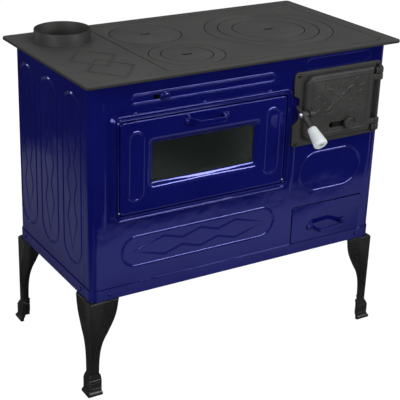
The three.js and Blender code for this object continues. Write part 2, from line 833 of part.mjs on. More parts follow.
// Cast table that frames the hob, with the flue hole and two raised diamonds on its left part
const hobPlateWidth = hobWidth - flueTableWidth - hobPlateRightMargin;
const hobPlateDepth = hobDepth - hobPlateFrontMargin - hobPlateRearMargin;
const hobPlateX = hobWidth / 2 - hobPlateRightMargin - hobPlateWidth / 2;
const hobPlateY = hobDepth / 2 - hobPlateRearMargin - hobPlateDepth / 2;
const reliefX = flueTableWidth * reliefAcrossShare - hobWidth / 2;
const reliefDepth = hobDepth * reliefDepthShare;
const collarX = flueTableWidth * collarAcrossShare - hobWidth / 2;
const collarY = hobDepth * collarBackShare;
const rebateZ = plateBottom + rebateLedge;
const spigotRadius = collarRadius - runningGap;

function hobOpening(grow) {
  const width = hobPlateWidth + 2 * grow;
  const depth = hobPlateDepth + 2 * grow;
  return rectangle(hobPlateX, hobPlateY, width, depth, plateCornerRadius);
}

function diamond(y, inset) {
  const slant = reliefWidth / reliefDepth;
  const across = reliefWidth / 2 - inset * Math.hypot(1, slant);
  const along = across / slant;
  return [
    new THREE.Vector2(reliefX - across, y),
    new THREE.Vector2(reliefX, y - along),
    new THREE.Vector2(reliefX + across, y),
    new THREE.Vector2(reliefX, y + along),
  ];
}

function topPlate() {
  let plate = solid(pullUp(rectangle(0, 0, hobWidth, hobDepth, plateCornerRadius), plateBottom, hobHeight))
    .subtract(solid(pullUp(hobOpening(ringGap), rebateZ, hobHeight + cutOverrun)))
    .subtract(solid(pullUp(hobOpening(-rebateWidth), plateBottom - cutOverrun, rebateZ + cutOverrun)));
  const flueHole = rod(spigotRadius + ringGap, plateThickness + 2 * cutOverrun, 32).rotateX(Math.PI / 2);
  plate = plate.subtract(solid(flueHole.translate(collarX, collarY, plateBottom + plateThickness / 2)));
  for (const place of [-1, 1]) {
    const y = hobDepth * (place * reliefPitchShare / 2 - reliefCentreShare);
    const raise = (shape) => pullUp(shape, hobHeight - cutOverrun, hobHeight + reliefHeight);
    const [outer, inner] = [0, reliefLine].map((inset) => new THREE.Shape(diamond(y, inset)));
    plate = plate.add(band(outer, inner, raise));
  }
  return plate;
}
addPiece("top_plate", topPlate(), castIron);

// Hob plate on the table's ledge, with a rebated hole for each set of rings
const lidRadius = hobPlateDepth * lidRadiusShare;
const plateLeft = hobPlateX - hobPlateWidth / 2;
const plateRight = hobPlateX + hobPlateWidth / 2;
const lidX = plateLeft + lidLeftMargin + lidRadius;
const bigRingWidth = plateRight - bigRingRightMargin - bigRingLeftMargin - lidX - lidRadius;
const bigRingRadius = Math.min(bigRingWidth, hobPlateDepth - 2 * bigRingRim) / 2;
const middleRingRadius = bigRingRadius * middleRingShare;
const ringSets = [
  { x: lidX, y: hobPlateY + hobPlateDepth / 2 - lidRearMargin - lidRadius, radius: lidRadius, segments: 24 },
  { x: lidX, y: hobPlateY - hobPlateDepth / 2 + lidFrontMargin + lidRadius, radius: lidRadius, segments: 24 },
  { x: plateRight - bigRingRightMargin - bigRingRadius, y: hobPlateY, radius: bigRingRadius, segments: 32 },
];
const ringSeat = plateThickness / 2;

function hobPlate() {
  let plate = solid(pullUp(hobOpening(0), rebateZ + seatGap, hobHeight))
    .add(solid(pullUp(hobOpening(-rebateWidth - ringGap), plateBottom, rebateZ + cutOverrun)));
  for (const { x, y, radius, segments } of ringSets) {
    const upper = rod(radius + ringGap, plateThickness, segments).rotateX(Math.PI / 2);
    const lower = rod(radius - ringLedge, plateThickness * 2, segments).rotateX(Math.PI / 2);
    plate = plate
      .subtract(solid(upper.translate(x, y, plateBottom + ringSeat + plateThickness / 2)))
      .subtract(solid(lower.translate(x, y, plateBottom + ringSeat)));
  }
  return plate;
}
addPiece("hob_plate", hobPlate(), castIron);

// Rings and lids, each resting on the ledge of the one outside it
function hobRing(radius, segments, holeRadius) {
  const step = radius - ringLedge - ringGap;
  return turned([
    [holeRadius - ringLedge, 0],
    [step, 0],
    [step, ringSeat + seatGap],
    [radius, ringSeat + seatGap],
    [radius, plateThickness],
    [holeRadius + ringGap, plateThickness],
    [holeRadius + ringGap, ringSeat],
    [holeRadius - ringLedge, ringSeat],
  ], segments);
}

function hobLid(radius, segments) {
  const step = radius - ringLedge - ringGap;
  const lid = turned([
    [0, 0],
    [step, 0],
    [step, ringSeat + seatGap],
    [radius, ringSeat + seatGap],
    [radius, plateThickness],
    [0, plateThickness],
  ], segments);
  const slot = track(0, 0, lifterSlotLength, lifterSlotWidth);
  const pocket = pullUp(slot, plateThickness - lifterSlotDepth, plateThickness + cutOverrun);
  return solid(lid).subtract(solid(pocket));
}

[
  ["rear_lid", hobLid, lidRadius, 0],
  ["front_ring", hobRing, lidRadius, 1, lidRadius * frontLidShare],
  ["front_lid", hobLid, lidRadius * frontLidShare, 1],
  ["big_outer_ring", hobRing, bigRingRadius, 2, middleRingRadius],
  ["big_middle_ring", hobRing, middleRingRadius, 2, bigRingRadius * bigLidShare],
  ["big_lid", hobLid, bigRingRadius * bigLidShare, 2],
].forEach(([name, shapeOf, radius, index, holeRadius]) => {
  const { x, y, segments } = ringSets[index];
  const piece = addPiece(name, shapeOf(radius, segments, holeRadius), castIron);
  piece.position.set(x, y, plateBottom);
});

// Flue collar, dropped into the table and standing on its own fillet
const collarBore = collarRadius - collarWall;
const collar = turned([
  [collarBore, -collarSpigot],
  [spigotRadius, -collarSpigot],
  [spigotRadius, seatGap],
  [collarRadius + collarFillet, seatGap],
  [collarRadius, collarFillet],
  [collarRadius, collarHeight],
  [collarBore, collarHeight],
], 32);
addPiece("flue_collar", collar, castIron).position.set(collarX, collarY, hobHeight);

// Pressed surround of the oven door: a raised hollow frame whose inner wall runs back to the oven box
function ovenOutline(width, height, radius) {
  return outline(rectangle(ovenX, ovenZ, width, height, radius));
}

const ovenHingeY = ovenFaceY + sheet + seatGap + ovenHingeRadius;
const ovenHingeZ = ovenDoorLow + ovenHingeRise;

function alongX(radius, length, x, y, z, segments = 12) {
  return rod(radius, length, segments).rotateZ(Math.PI / 2).translate(x, y, z);
}

function ovenSurround() {
  const width = ovenOpeningWidth + 2 * surroundMargin;
  const height = ovenOpeningHeight + 2 * surroundMargin;
  const crestWidth = width - 2 * surroundSlope;
  const crestHeight = height - 2 * surroundSlope;
  const crestRadius = surroundCorner - surroundSlope;
  const back = bodyFront - seatGap;
  const raised = taper(
    ovenOutline(crestWidth, crestHeight, crestRadius), ovenFaceY,
    ovenOutline(width, height, surroundCorner), back,
  );
  const hollow = taper(
    ovenOutline(crestWidth - 2 * sheet, crestHeight - 2 * sheet, crestRadius - sheet), ovenFaceY + sheet,
    ovenOutline(width - 2 * sheet, height - 2 * sheet, surroundCorner - sheet), back + seatGap / 10,
  );
  const opening = rectangle(ovenX, ovenZ, ovenOpeningWidth, ovenOpeningHeight, ovenDoorCorner);
  const wall = rectangle(
    ovenX, ovenZ, ovenOpeningWidth + 2 * sheet, ovenOpeningHeight + 2 * sheet, ovenDoorCorner + sheet,
  );
  const holeRadius = ovenHingeRadius + hingeHoleGap;
  const holeLength = ovenOpeningWidth + surroundMargin;
  const pinHoles = alongX(holeRadius, holeLength, ovenX, ovenHingeY, ovenHingeZ);
  return solid(raised)
    .subtract(solid(hollow))
    .add(solid(pullBack(wall, ovenFaceY, ovenMouthY - seatGap)))
    .subtract(solid(pullBack(opening, ovenFaceY - cutOverrun, ovenMouthY + cutOverrun)))
    .subtract(solid(pinHoles));
}
addPiece("oven_door_surround", ovenSurround(), enamel);

// Oven box: a folded steel box with a front flange and two ledges for the shelf
const shelfZ = ovenZ + ovenMouthHeight * (shelfHeightShare - 0.5);
const ovenBack = bodyBack - ovenRearGap;

function ovenBox() {
  const outerWidth = ovenMouthWidth + 2 * sheet;
  const outerHeight = ovenMouthHeight + 2 * sheet;
  const flange = rectangle(ovenX, ovenZ, ovenMouthWidth + 2 * ovenFlange, ovenMouthHeight + 2 * ovenFlange);
  const shell = rectangle(ovenX, ovenZ, outerWidth, outerHeight);
  const inside = rectangle(ovenX, ovenZ, ovenMouthWidth, ovenMouthHeight);
  let body = solid(pullBack(flange, ovenMouthY, ovenMouthY + sheet))
    .add(solid(pullBack(shell, ovenMouthY, ovenBack)))
    .subtract(solid(pullBack(inside, ovenMouthY - cutOverrun, ovenBack - sheet)));
  for (const side of [-1, 1]) {
    const wall = ovenX + side * (ovenMouthWidth / 2 + sheet / 2);
    const tip = ovenX + side * (ovenMouthWidth / 2 - shelfLedgeReach);
    const ledge = box(
      Math.min(wall, tip), Math.max(wall, tip),
      ovenMouthY + shelfLedgeReach, ovenBack - shelfLedgeReach,
      shelfZ - shelfLedge, shelfZ,
    );
    body = body.add(solid(ledge));
  }
  return body;
}
addPiece("oven_box", ovenBox(), darkSteel);

// Wire shelf that lies on the ledges
function ovenShelf() {
  const width = ovenMouthWidth - 2 * runningGap;
  const front = ovenMouthY + shelfLedgeReach + runningGap;
  const z = shelfZ + seatGap + shelfRod / 2;
  const shelfDepth = ovenBack - shelfRearGap - front;
  const middle = front + shelfDepth / 2;
  let rack = solid(alongX(shelfRod / 2, width, ovenX, front + shelfRod / 2, z, 8));
  rack = rack.add(solid(alongX(shelfRod / 2, width, ovenX, front + shelfDepth - shelfRod / 2, z, 8)));
  const pitch = (width - shelfRod) / (shelfBars - 1);
  for (let i = 0; i < shelfBars; i += 1) {
    const x = ovenX - (width - shelfRod) / 2 + i * pitch;
    rack = rack.add(solid(rod(shelfRod / 2, shelfDepth - shelfRod, 8).translate(x, middle, z)));
  }
  return rack;
}
addPiece("oven_shelf", ovenShelf(), darkSteel);

// Oven door: a pressed pan with a bevelled window, closed behind by a liner that holds the glass
const windowCentreZ = ovenDoorLow + ovenDoorHeight * windowCentreShare;
const windowBackY = ovenFaceY + bevelDepth;
const glassFrontY = windowBackY + seatGap;
const glassBackY = glassFrontY + glassThickness;
const linerBackY = ovenMouthY - runningGap;
const linerFrontY = ovenFaceY + ovenDoorDepth - linerLip;

function windowFunnel(grow) {
  const bevelZ = windowCentreZ + (bevelWidth - bevelBottom) / 2;
  const wide = rectangle(
    ovenX, bevelZ,
    windowWidth + 2 * (bevelWidth + grow), windowHeight + bevelWidth + bevelBottom + 2 * grow,
    bevelWidth + grow,
  );
  const narrow = rectangle(
    ovenX, windowCentreZ, windowWidth + 2 * grow, windowHeight + 2 * grow, sheet + grow,
  );
  return taper(outline(wide), ovenFaceY, outline(narrow), windowBackY);
}

function doorTracks() {
  const press = (shape) => pullBack(shape, ovenFaceY - cutOverrun, ovenFaceY + embossDepth);
  return [-1, 1].map((side) => {
    const x = ovenX + side * (ovenDoorWidth / 2 - doorTrackInset);
    return trackLine(x, windowCentreZ, doorTrackWidth, ovenDoorHeight * doorTrackLengthShare, press);
  });
}

function ovenDoorPanel() {
  const outer = rectangle(ovenX, ovenZ, ovenDoorWidth, ovenDoorHeight, ovenDoorCorner);
  const inner = rectangle(
    ovenX, ovenZ, ovenDoorWidth - 2 * sheet, ovenDoorHeight - 2 * sheet, ovenDoorCorner - sheet,
  );
  const back = ovenFaceY + ovenDoorDepth;
  const holeRadius = ovenHingeRadius + hingeHoleGap;
  const holeLength = ovenDoorWidth + 2 * cutOverrun;
  const panel = solid(pullBack(outer, ovenFaceY, back))
    .subtract(solid(pullBack(inner, ovenFaceY + sheet, back + cutOverrun)))
    .add(solid(windowFunnel(sheet)))
    .subtract(solid(windowFunnel(0)))
    .subtract(solid(alongX(holeRadius, holeLength, ovenX, ovenHingeY, ovenHingeZ)));
  return doorTracks().reduce((rest, tool) => rest.subtract(tool), panel);
}

function ovenDoorLiner() {
  const width = ovenDoorWidth - 2 * (sheet + seatGap);
  const height = ovenDoorHeight - 2 * (sheet + seatGap);
  const outer = rectangle(ovenX, ovenZ, width, height, ovenDoorCorner - sheet);
  const inner = rectangle(ovenX, ovenZ, width - 2 * thinSheet, height - 2 * thinSheet);
  const rim = rectangle(ovenX, windowCentreZ, windowWidth + 2 * thinSheet, windowHeight + 2 * thinSheet);
  const hole = rectangle(ovenX, windowCentreZ, windowWidth, windowHeight);
  return solid(pullBack(outer, linerFrontY, linerBackY))
    .subtract(solid(pullBack(inner, linerFrontY - cutOverrun, linerBackY - thinSheet)))
    .add(solid(pullBack(rim, glassBackY + seatGap, linerBackY)))
    .subtract(solid(pullBack(hole, linerFrontY - cutOverrun, linerBackY + cutOverrun)));
}

const glassShape = rectangle(
  ovenX, windowCentreZ, windowWidth + 2 * glassLap, windowHeight + 2 * glassLap, sheet,
);
addPiece("oven_door_panel", ovenDoorPanel(), enamel);
addPiece("oven_door_liner", ovenDoorLiner(), darkSteel);
addPiece("oven_door_glass", pullBack(glassShape, glassFrontY, glassBackY, 2), ovenGlass);
addPiece(
  "oven_hinge_rod",
  alongX(ovenHingeRadius, ovenOpeningWidth + sheet, ovenX, ovenHingeY, ovenHingeZ, 10),
  brightSteel,
);

// Strap handle, bent from flat bar, drawn from above with its feet on the face at y
function strapHandle(x, y, z) {
  const foot = handleSpan / 2 + handleFoot / 2;
  const heel = handleSpan / 2 - handleFoot / 2;
  const bar = heel - handleSlopeRun;
  const outer = [[foot, 0], [foot, handleStrap], [heel, handleStrap], [bar, handleReach]];
  const inner = [[bar - handleStrap, handleReach - handleStrap], [heel - handleStrap, 0]];
  const place = (points, side) => points.map(([along, out]) => {
    return new THREE.Vector2(x + side * along, y - out);
  });
  const shape = new THREE.Shape([
    ...place(outer, 1),
    ...place(outer, -1).reverse(),
    ...place(inner, -1).reverse(),
    ...place(inner, 1),
  ]);
  return pullUp(shape, z - handleWidth / 2, z + handleWidth / 2);
}
const ovenHandleZ = ovenDoorLow + ovenDoorHeight - ovenHandleDrop;
addPiece("oven_door_handle", strapHandle(ovenX, ovenFaceY - seatGap, ovenHandleZ), enamel);

// Cast front of the firebox, screwed over its mouth, with lugs for the hinge rod on the right
const hingeRodX = frameX + frameWidth / 2 - hingeRodInset;
const hingeRodY = frameFaceY - hingeRodOut;
const rodHole = hingeRodRadius + hingeHoleGap;
const upperLugZ = frameLow + fireDoorBottom + fireDoorHeight - upperLugDrop;
const doorUpperLug = upperLugZ - lugHeight;
const frameUpperLug = upperLugZ + runningGap;
const doorLowerLug = frameLow + fireDoorBottom + lowerLugRise;
const frameLowerLug = doorLowerLug - runningGap - lugHeight;

function upright(radius, x, y, bottom, top, segments = 16) {
  return rod(radius, top - bottom, segments).rotateX(Math.PI / 2).translate(x, y, (bottom + top) / 2);
}

function frameLug(bottom) {
  const top = bottom + lugHeight;
  const left = hingeRodX - lugReach;
  const web = box(left, hingeRodX, hingeRodY, frameFaceY + cutOverrun, bottom, top);
  return solid(upright(lugRadius, hingeRodX, hingeRodY, bottom, top)).add(solid(web));
}

function fireboxFrame() {
  const notchLow = frameLow + frameHeight * notchBottomShare;
  const notchHigh = notchLow + frameHeight * notchHeightShare;
  const notch = new THREE.Shape([
    new THREE.Vector2(frameLeft - cutOverrun, notchLow),
    new THREE.Vector2(frameLeft, notchLow),
    new THREE.Vector2(frameLeft + notchDepth, notchLow + notchSlope),
    new THREE.Vector2(frameLeft + notchDepth, notchHigh - notchSlope),
    new THREE.Vector2(frameLeft, notchHigh),
    new THREE.Vector2(frameLeft - cutOverrun, notchHigh),
  ]);
  const cuts = [
    notch,
    rectangle(frameX, fireMouthCentreZ, fireMouthWidth, fireMouthHeight),
    ...frameScrews.map(({ x, z }) => disc(x, z, screwHole)),
  ];
  const plate = rectangle(frameX, frameZ, frameWidth, frameHeight, frameCorner);
  let frame = solid(pullBack(plate, frameFaceY, bodyFront - seatGap));
  for (const shape of cuts) {
    frame = frame.subtract(solid(pullBack(shape, frameFaceY - cutOverrun, bodyFront + cutOverrun)));
  }
  for (const bottom of [frameUpperLug, frameLowerLug]) frame = frame.add(frameLug(bottom));
  const bore = upright(rodHole, hingeRodX, hingeRodY, frameLow, frameLow + frameHeight);
  return frame.subtract(solid(bore));
}
addPiece("firebox_frame", fireboxFrame(), doorIron);

frameScrews.forEach(({ x, z }, index) => {
  const piece = addPiece(`firebox_frame_screw_${index + 1}`, screw(), brightSteel);
  piece.rotation.x = Math.PI / 2;
  piece.position.set(x, frameFaceY - seatGap, z);
});

// Hinge rod, dropped through the lugs from above and held by its head
const rodBottom = frameLowerLug - hingeRodHeadHeight;
const rodHeadSeat = frameUpperLug + lugHeight + seatGap;
const hingeRod = turned([
  [0, 0],
  [hingeRodRadius, 0],
  [hingeRodRadius, rodHeadSeat - rodBottom],
  [hingeRodHead, rodHeadSeat - rodBottom],
  [hingeRodHead, rodHeadSeat - rodBottom + hingeRodHeadHeight],
  [0, rodHeadSeat - rodBottom + hingeRodHeadHeight],
], 14);
addPiece("firebox_hinge_rod", hingeRod, doorIron).position.set(hingeRodX, hingeRodY, rodBottom);

// Cast firebox door: a dish with round corners on the latch side, two lugs and an air slot
const fireDoorX = frameLeft + fireDoorLeft + fireDoorWidth / 2;
const fireDoorZ = frameLow + fireDoorBottom + fireDoorHeight / 2;
const fireDoorBackY = frameFaceY - seatGap;
const fireDoorFaceY = fireDoorBackY - fireDoorThickness;
const fireDoorInnerY = fireDoorFaceY + fireDoorWall;
const airSlotZ = frameLow + fireDoorBottom + fireDoorRim + airPlateRise + airPlateHeight / 2;
const airSlot = { x: frameX + airSlotX, z: airSlotZ };
const latchX = frameLeft + latchPinLeft;
const latchY = bodyFront - latchOut;
const latchPinZ = frameLow + frameHeight * latchShare;

function fireDoorOutline(inset) {
  const left = fireDoorX - fireDoorWidth / 2 + inset;
  const right = fireDoorX + fireDoorWidth / 2 - inset;
  const low = fireDoorZ - fireDoorHeight / 2 + inset;
  const high = fireDoorZ + fireDoorHeight / 2 - inset;
  const round = fireDoorCorner - inset;
  const shape = new THREE.Shape();
  shape.moveTo(right, low);
  shape.lineTo(right, high);
  shape.absarc(left + round, high - round, round, Math.PI / 2, Math.PI);
  shape.absarc(left + round, low + round, round, Math.PI, 1.5 * Math.PI);
  return shape;
}

function doorLug(bottom) {
  const top = bottom + lugHeight;
  const left = fireDoorX + fireDoorWidth / 2 - fireDoorEdge;
  const armBack = hingeRodY + lugRadius / 2;
  const arm = box(left, hingeRodX, fireDoorFaceY + fireDoorEdge, armBack, bottom, top);
  return solid(upright(lugRadius, hingeRodX, hingeRodY, bottom, top)).add(solid(arm));
}

function fireboxDoor() {
  const shoulderY = fireDoorFaceY + fireDoorEdge * 2;
  const edge = outline(fireDoorOutline(0), 6);
  const borderX = fireDoorX + (borderInset - borderHingeInset) / 2;
  const [borderOuter, borderInner] = [0, 2 * borderLine].map((less) => rectangle(
    borderX, fireDoorZ,
    fireDoorWidth - borderInset - borderHingeInset - less, fireDoorHeight - 2 * borderInset - less,
  ));
  const border = band(borderOuter, borderInner, (shape) => {
    return pullBack(shape, fireDoorFaceY - borderHeight, fireDoorFaceY + borderHeight);
  });
  const bossX = latchX + latchPinLength - latchBossLength / 2 - latchPinHeadLength;
  const bossLeft = bossX - latchBossLength / 2;
  const boss = solid(alongX(latchHubRadius - runningGap, latchBossLength, bossX, latchY, latchPinZ, 14))
    .add(solid(box(
      bossLeft, bossLeft + latchBossLength, latchY, fireDoorFaceY + runningGap,
      latchPinZ - latchHubRadius + runningGap, latchPinZ + latchHubRadius - runningGap,
    )));
  let door = solid(taper(outline(fireDoorOutline(fireDoorEdge), 6), fireDoorFaceY, edge, shoulderY))
    .add(solid(pullBack(fireDoorOutline(0), shoulderY, fireDoorBackY, 6)))
    .subtract(solid(pullBack(fireDoorOutline(fireDoorRim), fireDoorInnerY, fireDoorBackY + cutOverrun, 6)))
    .add(border)
    .subtract(solid(pullBack(
      track(airSlot.x, airSlot.z, airSlotLength, airSlotHeight),
      fireDoorFaceY - cutOverrun, fireDoorInnerY + cutOverrun, 5,
    )))
    .add(boss);
  for (const bottom of [doorUpperLug, doorLowerLug]) door = door.add(doorLug(bottom));
  const pinHole = alongX(latchPinRadius + hingeHoleGap, latchPinLength, bossX, latchY, latchPinZ);
  const bore = upright(rodHole, hingeRodX, hingeRodY, frameLow, frameLow + frameHeight);
  return door.subtract(solid(pinHole)).subtract(solid(bore));
}
addPiece("firebox_door", fireboxDoor(), doorIron);

// Heat baffle behind the door, standing off on two bosses
function fireDoorBaffle() {
  const plateBack = bodyFront - runningGap;
  const plateFront = plateBack - baffleThickness;
  const width = fireMouthWidth * baffleWidthShare;
  const shape = rectangle(frameX, fireMouthCentreZ, width, fireMouthHeight * baffleHeightShare);
  const bossZ = frameLow + frameHeight * baffleBossShare;
  return [-1, 1].reduce((body, side) => {
    const boss = disc(frameX + side * width * baffleBossSpacingShare / 2, bossZ, baffleBossRadius);
    return body.add(solid(pullBack(boss, fireDoorInnerY + seatGap, plateFront + runningGap)));
  }, solid(pullBack(shape, plateFront, plateBack)));
}
addPiece("firebox_door_baffle", fireDoorBaffle(), doorIron);

// Air slider: a plate behind the slot, moved by a round knob in front of it
function airSlider() {
  const x = airSlot.x + airSlotLength * airSliderRestShare;
  const plateFront = fireDoorInnerY + seatGap;
  const knobBack = fireDoorFaceY - seatGap;
  const plate = rectangle(x, airSlot.z, airSlotLength + 2 * airPlateLap, airPlateHeight);
  return solid(pullBack(plate, plateFront, plateFront + airPlateThickness))
    .add(solid(pullBack(disc(x, airSlot.z, airStemRadius), knobBack - runningGap, plateFront + runningGap)))
    .add(solid(pullBack(disc(x, airSlot.z, airKnobRadius), knobBack - airKnobHeight, knobBack, 7)));
}
addPiece("air_slider", airSlider(), doorIron);

// Latch: a pin through the door's boss carries a lever with a turned ceramic grip
const latchHubX = latchX + latchPinHeadLength + latchHubGap / 2 + latchHubLength / 2;
const latchPin = turned([
  [0, 0],
  [latchPinHead, 0],
  [latchPinHead, latchPinHeadLength],
  [latchPinRadius, latchPinHeadLength],
  [latchPinRadius, latchPinLength],
  [0, latchPinLength],
], 12);
const pinPiece = addPiece("latch_pin", latchPin, brightSteel);
pinPiece.rotation.y = Math.PI / 2;
pinPiece.position.set(latchX, latchY, latchPinZ);

const latchGroup = new THREE.Group();
latchGroup.position.set(latchHubX, latchY, latchPinZ);
latchGroup.rotation.x = THREE.MathUtils.degToRad(latchTilt);
stove.add(latchGroup);

function latchLever() {
  const hub = alongX(latchHubRadius, latchHubLength, 0, 0, 0, 16);
  const bore = alongX(latchPinRadius + hingeHoleGap, latchHubLength + cutOverrun, 0, 0, 0);
  const arm = box(
    -latchArmWidth / 2, latchArmWidth / 2, -latchArmLength, 0, -latchArmHeight / 2, latchArmHeight / 2,
  );
  const noseRight = latchNoseWidth - latchHubLength / 2;
  const nose = box(
    -latchHubLength / 2, noseRight, 0, latchNoseLength, -latchNoseHeight / 2, latchNoseHeight / 2,
  );
  const spigotLength = gripLength - gripHoleDepth;
  const spigot = rod(gripSpigotRadius, spigotLength + cutOverrun, 10);
  spigot.translate(0, -latchArmLength - spigotLength / 2 + cutOverrun / 2, 0);
  return solid(hub).add(solid(arm)).add(solid(nose)).add(solid(spigot)).subtract(solid(bore));
}
addPiece("latch_lever", latchLever(), doorIron, latchGroup);

const grip = turned([
  [gripBore, 0],
  [gripRootRadius, 0],
  [gripTipRadius, gripLength - gripRounding],
  [gripTipRadius - gripRounding * gripRoundingShare, gripLength - gripRounding * gripRoundingShare],
  [gripTipRadius - gripRounding, gripLength],
  [gripHoleRadius, gripLength],
  [gripHoleRadius, gripLength - gripHoleDepth],
  [gripBore, gripLength - gripHoleDepth],
], 20);
grip.rotateX(Math.PI / 2);
addPiece("latch_grip", grip, ceramic, latchGroup).position.y = -latchArmLength - seatGap;

// Firebox lining: three bricks on a slotted grate, carried by the two walls of the ash chute
const chamber = {
  left: ovenX + ovenMouthWidth / 2 + ovenFlange + chamberLeft,
  right: bodyRight - sheet - chamberRight,
  front: bodyFront + sheet + chamberLeft,
  back: bodyBack - chamberRear,
};
const grateBottom = frameLow - grateDrop;
const brickBottom = grateBottom + grateThickness + seatGap;
const brickTop = plateBottom - brickTopGap;

function fireGrate() {
  const middleX = (chamber.left + chamber.right) / 2;
  const middleY = (chamber.front + chamber.back) / 2;
  const slotLength = chamber.back - chamber.front - brickThickness - 2 * grateSlotMargin;
  const clearWidth = chamber.right - chamber.left - 2 * brickThickness - 2 * grateSlotWidth;
  const pitch = clearWidth / (grateSlots - 1);
  let grate = solid(box(
    chamber.left, chamber.right, chamber.front, chamber.back, grateBottom, grateBottom + grateThickness,
  ));
  for (let i = 0; i < grateSlots; i += 1) {
    const x = middleX + (i - (grateSlots - 1) / 2) * pitch;
    const slot = track(x, middleY - brickThickness / 2, grateSlotWidth, slotLength);
    const tool = pullUp(slot, grateBottom - cutOverrun, grateBottom + grateThickness + cutOverrun, 2);
    grate = grate.subtract(solid(tool));
  }
  return grate;
}
addPiece("fire_grate", fireGrate(), doorIron);

const brickBack = chamber.back - brickThickness - seatGap;
const leftBrick = [chamber.left, chamber.left + brickThickness, chamber.front, brickBack];
const rightBrick = [chamber.right - brickThickness, chamber.right, chamber.front, brickBack];
const backBrick = [chamber.left, chamber.right, chamber.back - brickThickness, chamber.back];
addPiece("firebrick_left", box(...leftBrick, brickBottom, brickTop), firebrick);
addPiece("firebrick_right", box(...rightBrick, brickBottom, brickTop), firebrick);
addPiece("firebrick_back", box(...backBrick, brickBottom, brickTop), firebrick);

// Ash chute walls: they stand on the floor sheet, carry the grate and hold the drawer on a ledge each
const trayLeft = drawerX - drawerWidth / 2 + drawerTrayMargin;
const trayRight = drawerX + drawerWidth / 2 - drawerTrayMargin;
const trayBottom = drawerLow + chuteLedgeDrop;

function chuteSide(inner, outward) {
  const outer = inner + outward * chuteWall;
  const tip = inner - outward * chuteLedge;
  const [left, right] = [inner, outer].sort((a, b) => a - b);
  const [ledgeLeft, ledgeRight] = [outer, tip].sort((a, b) => a - b);
  const ledgeTop = trayBottom - seatGap;
  const front = insideFront + chuteFrontGap;
  const wall = box(left, right, front, chamber.back, floorTop + seatGap, grateBottom - seatGap);
  const ledge = box(ledgeLeft, ledgeRight, front, chamber.back, ledgeTop - chuteWall, ledgeTop);
  return solid(wall).add(solid(ledge));
}
addPiece("ash_chute_left", chuteSide(trayLeft - runningGap, -1), darkSteel);
addPiece("ash_chute_right", chuteSide(trayRight + runningGap, 1), darkSteel);

// Ash drawer: a folded tray behind an enamelled front, with a strap handle
const drawerFaceY = bodyFront - drawerProud;
const drawerFrontBack = drawerFaceY + drawerFrontThickness;

function drawerTray() {
  const front = drawerFrontBack + seatGap;
  const back = bodyBack - drawerRearGap;
  const top = trayBottom + drawerHeight - drawerTrayDrop;
  const outer = box(trayLeft, trayRight, front, back, trayBottom, top);
  const inner = box(
    trayLeft + thinSheet, trayRight - thinSheet, front + thinSheet, back - thinSheet,
    trayBottom + thinSheet, top + cutOverrun,
  );
  return solid(outer).subtract(solid(inner));
}
addPiece("ash_drawer_tray", drawerTray(), darkSteel);
addPiece(
  "ash_drawer_front",
  pullBack(rectangle(drawerX, drawerZ, drawerWidth, drawerHeight), drawerFaceY, drawerFrontBack),
  enamel,
);
const drawerGripZ = drawerLow + drawerHeight * drawerHandleShare;
addPiece("ash_drawer_handle", strapHandle(drawerX, drawerFaceY - seatGap, drawerGripZ), enamel);

// Flue damper: a knob in the pressed track slides a flap over the port of the divider
const dividerZ = plateBottom - bodyHeight * dividerDropShare;
const portLeft = insideLeft + dividerPortInset;
const portFront = insideFront + damperArmDepth + dividerPortInset;
const flapLeft = portLeft + damperTravel;
const flapBottom = dividerZ + thinSheet + seatGap;
const tabFront = insideFront + runningGap;

function smokeDivider() {
  const right = flapLeft + damperFlapWidth + damperTabWidth;
  const port = box(
    portLeft, portLeft + dividerPortWidth, portFront, portFront + bodyDepth * dividerPortDepthShare,
    dividerZ - cutOverrun, dividerZ + cutOverrun,
  );
  return solid(pullUp(insideShape(right), dividerZ, dividerZ + thinSheet)).subtract(solid(port));
}
addPiece("smoke_divider", smokeDivider(), darkSteel);

function damperSlide() {
  const flapTop = flapBottom + damperTabThickness;
  const armBack = tabFront + damperArmDepth;
  const flapFront = armBack - damperTabThickness;
  const flapBack = flapFront + bodyDepth * damperFlapDepthShare;
  const flap = box(flapLeft, flapLeft + damperFlapWidth, flapFront, flapBack, flapBottom, flapTop);
  const tabRight = damperX + damperTabWidth / 2;
  const arm = box(flapLeft + damperFlapWidth / 2, tabRight, tabFront, armBack, flapBottom, flapTop);
  const tabTop = damperTrackZ + damperKnobRadius;
  const tab = box(
    tabRight - damperTabWidth, tabRight, tabFront, tabFront + damperTabThickness, flapBottom, tabTop,
  );
  return solid(flap).add(solid(arm)).add(solid(tab));
}
addPiece("damper_slide", damperSlide(), darkSteel);

const knobSeat = bodyFront - seatGap;
const damperKnob = turned([
  [0, 0],
  [damperStemRadius, 0],
  [damperStemRadius, tabFront - seatGap - knobSeat],
  [damperKnobRadius, tabFront - seatGap - knobSeat],
  [damperKnobRadius * damperCrownShare, tabFront - seatGap - knobSeat + damperKnobHeight],
  [0, tabFront - seatGap - knobSeat + damperKnobHeight],
], 20);
const knobPiece = addPiece("damper_knob", damperKnob, enamel);
knobPiece.rotation.x = Math.PI / 2;
knobPiece.position.set(damperX, tabFront - seatGap, damperTrackZ);

// The origin is on the floor, under the middle of everything that stands out
stove.updateMatrixWorld(true);
const extent = new THREE.Box3().setFromObject(stove, true);
stove.position.y = -(extent.min.y + extent.max.y) / 2;

export default stove;
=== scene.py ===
import json
import math

import bmesh
import bpy
from mathutils import Matrix, Vector


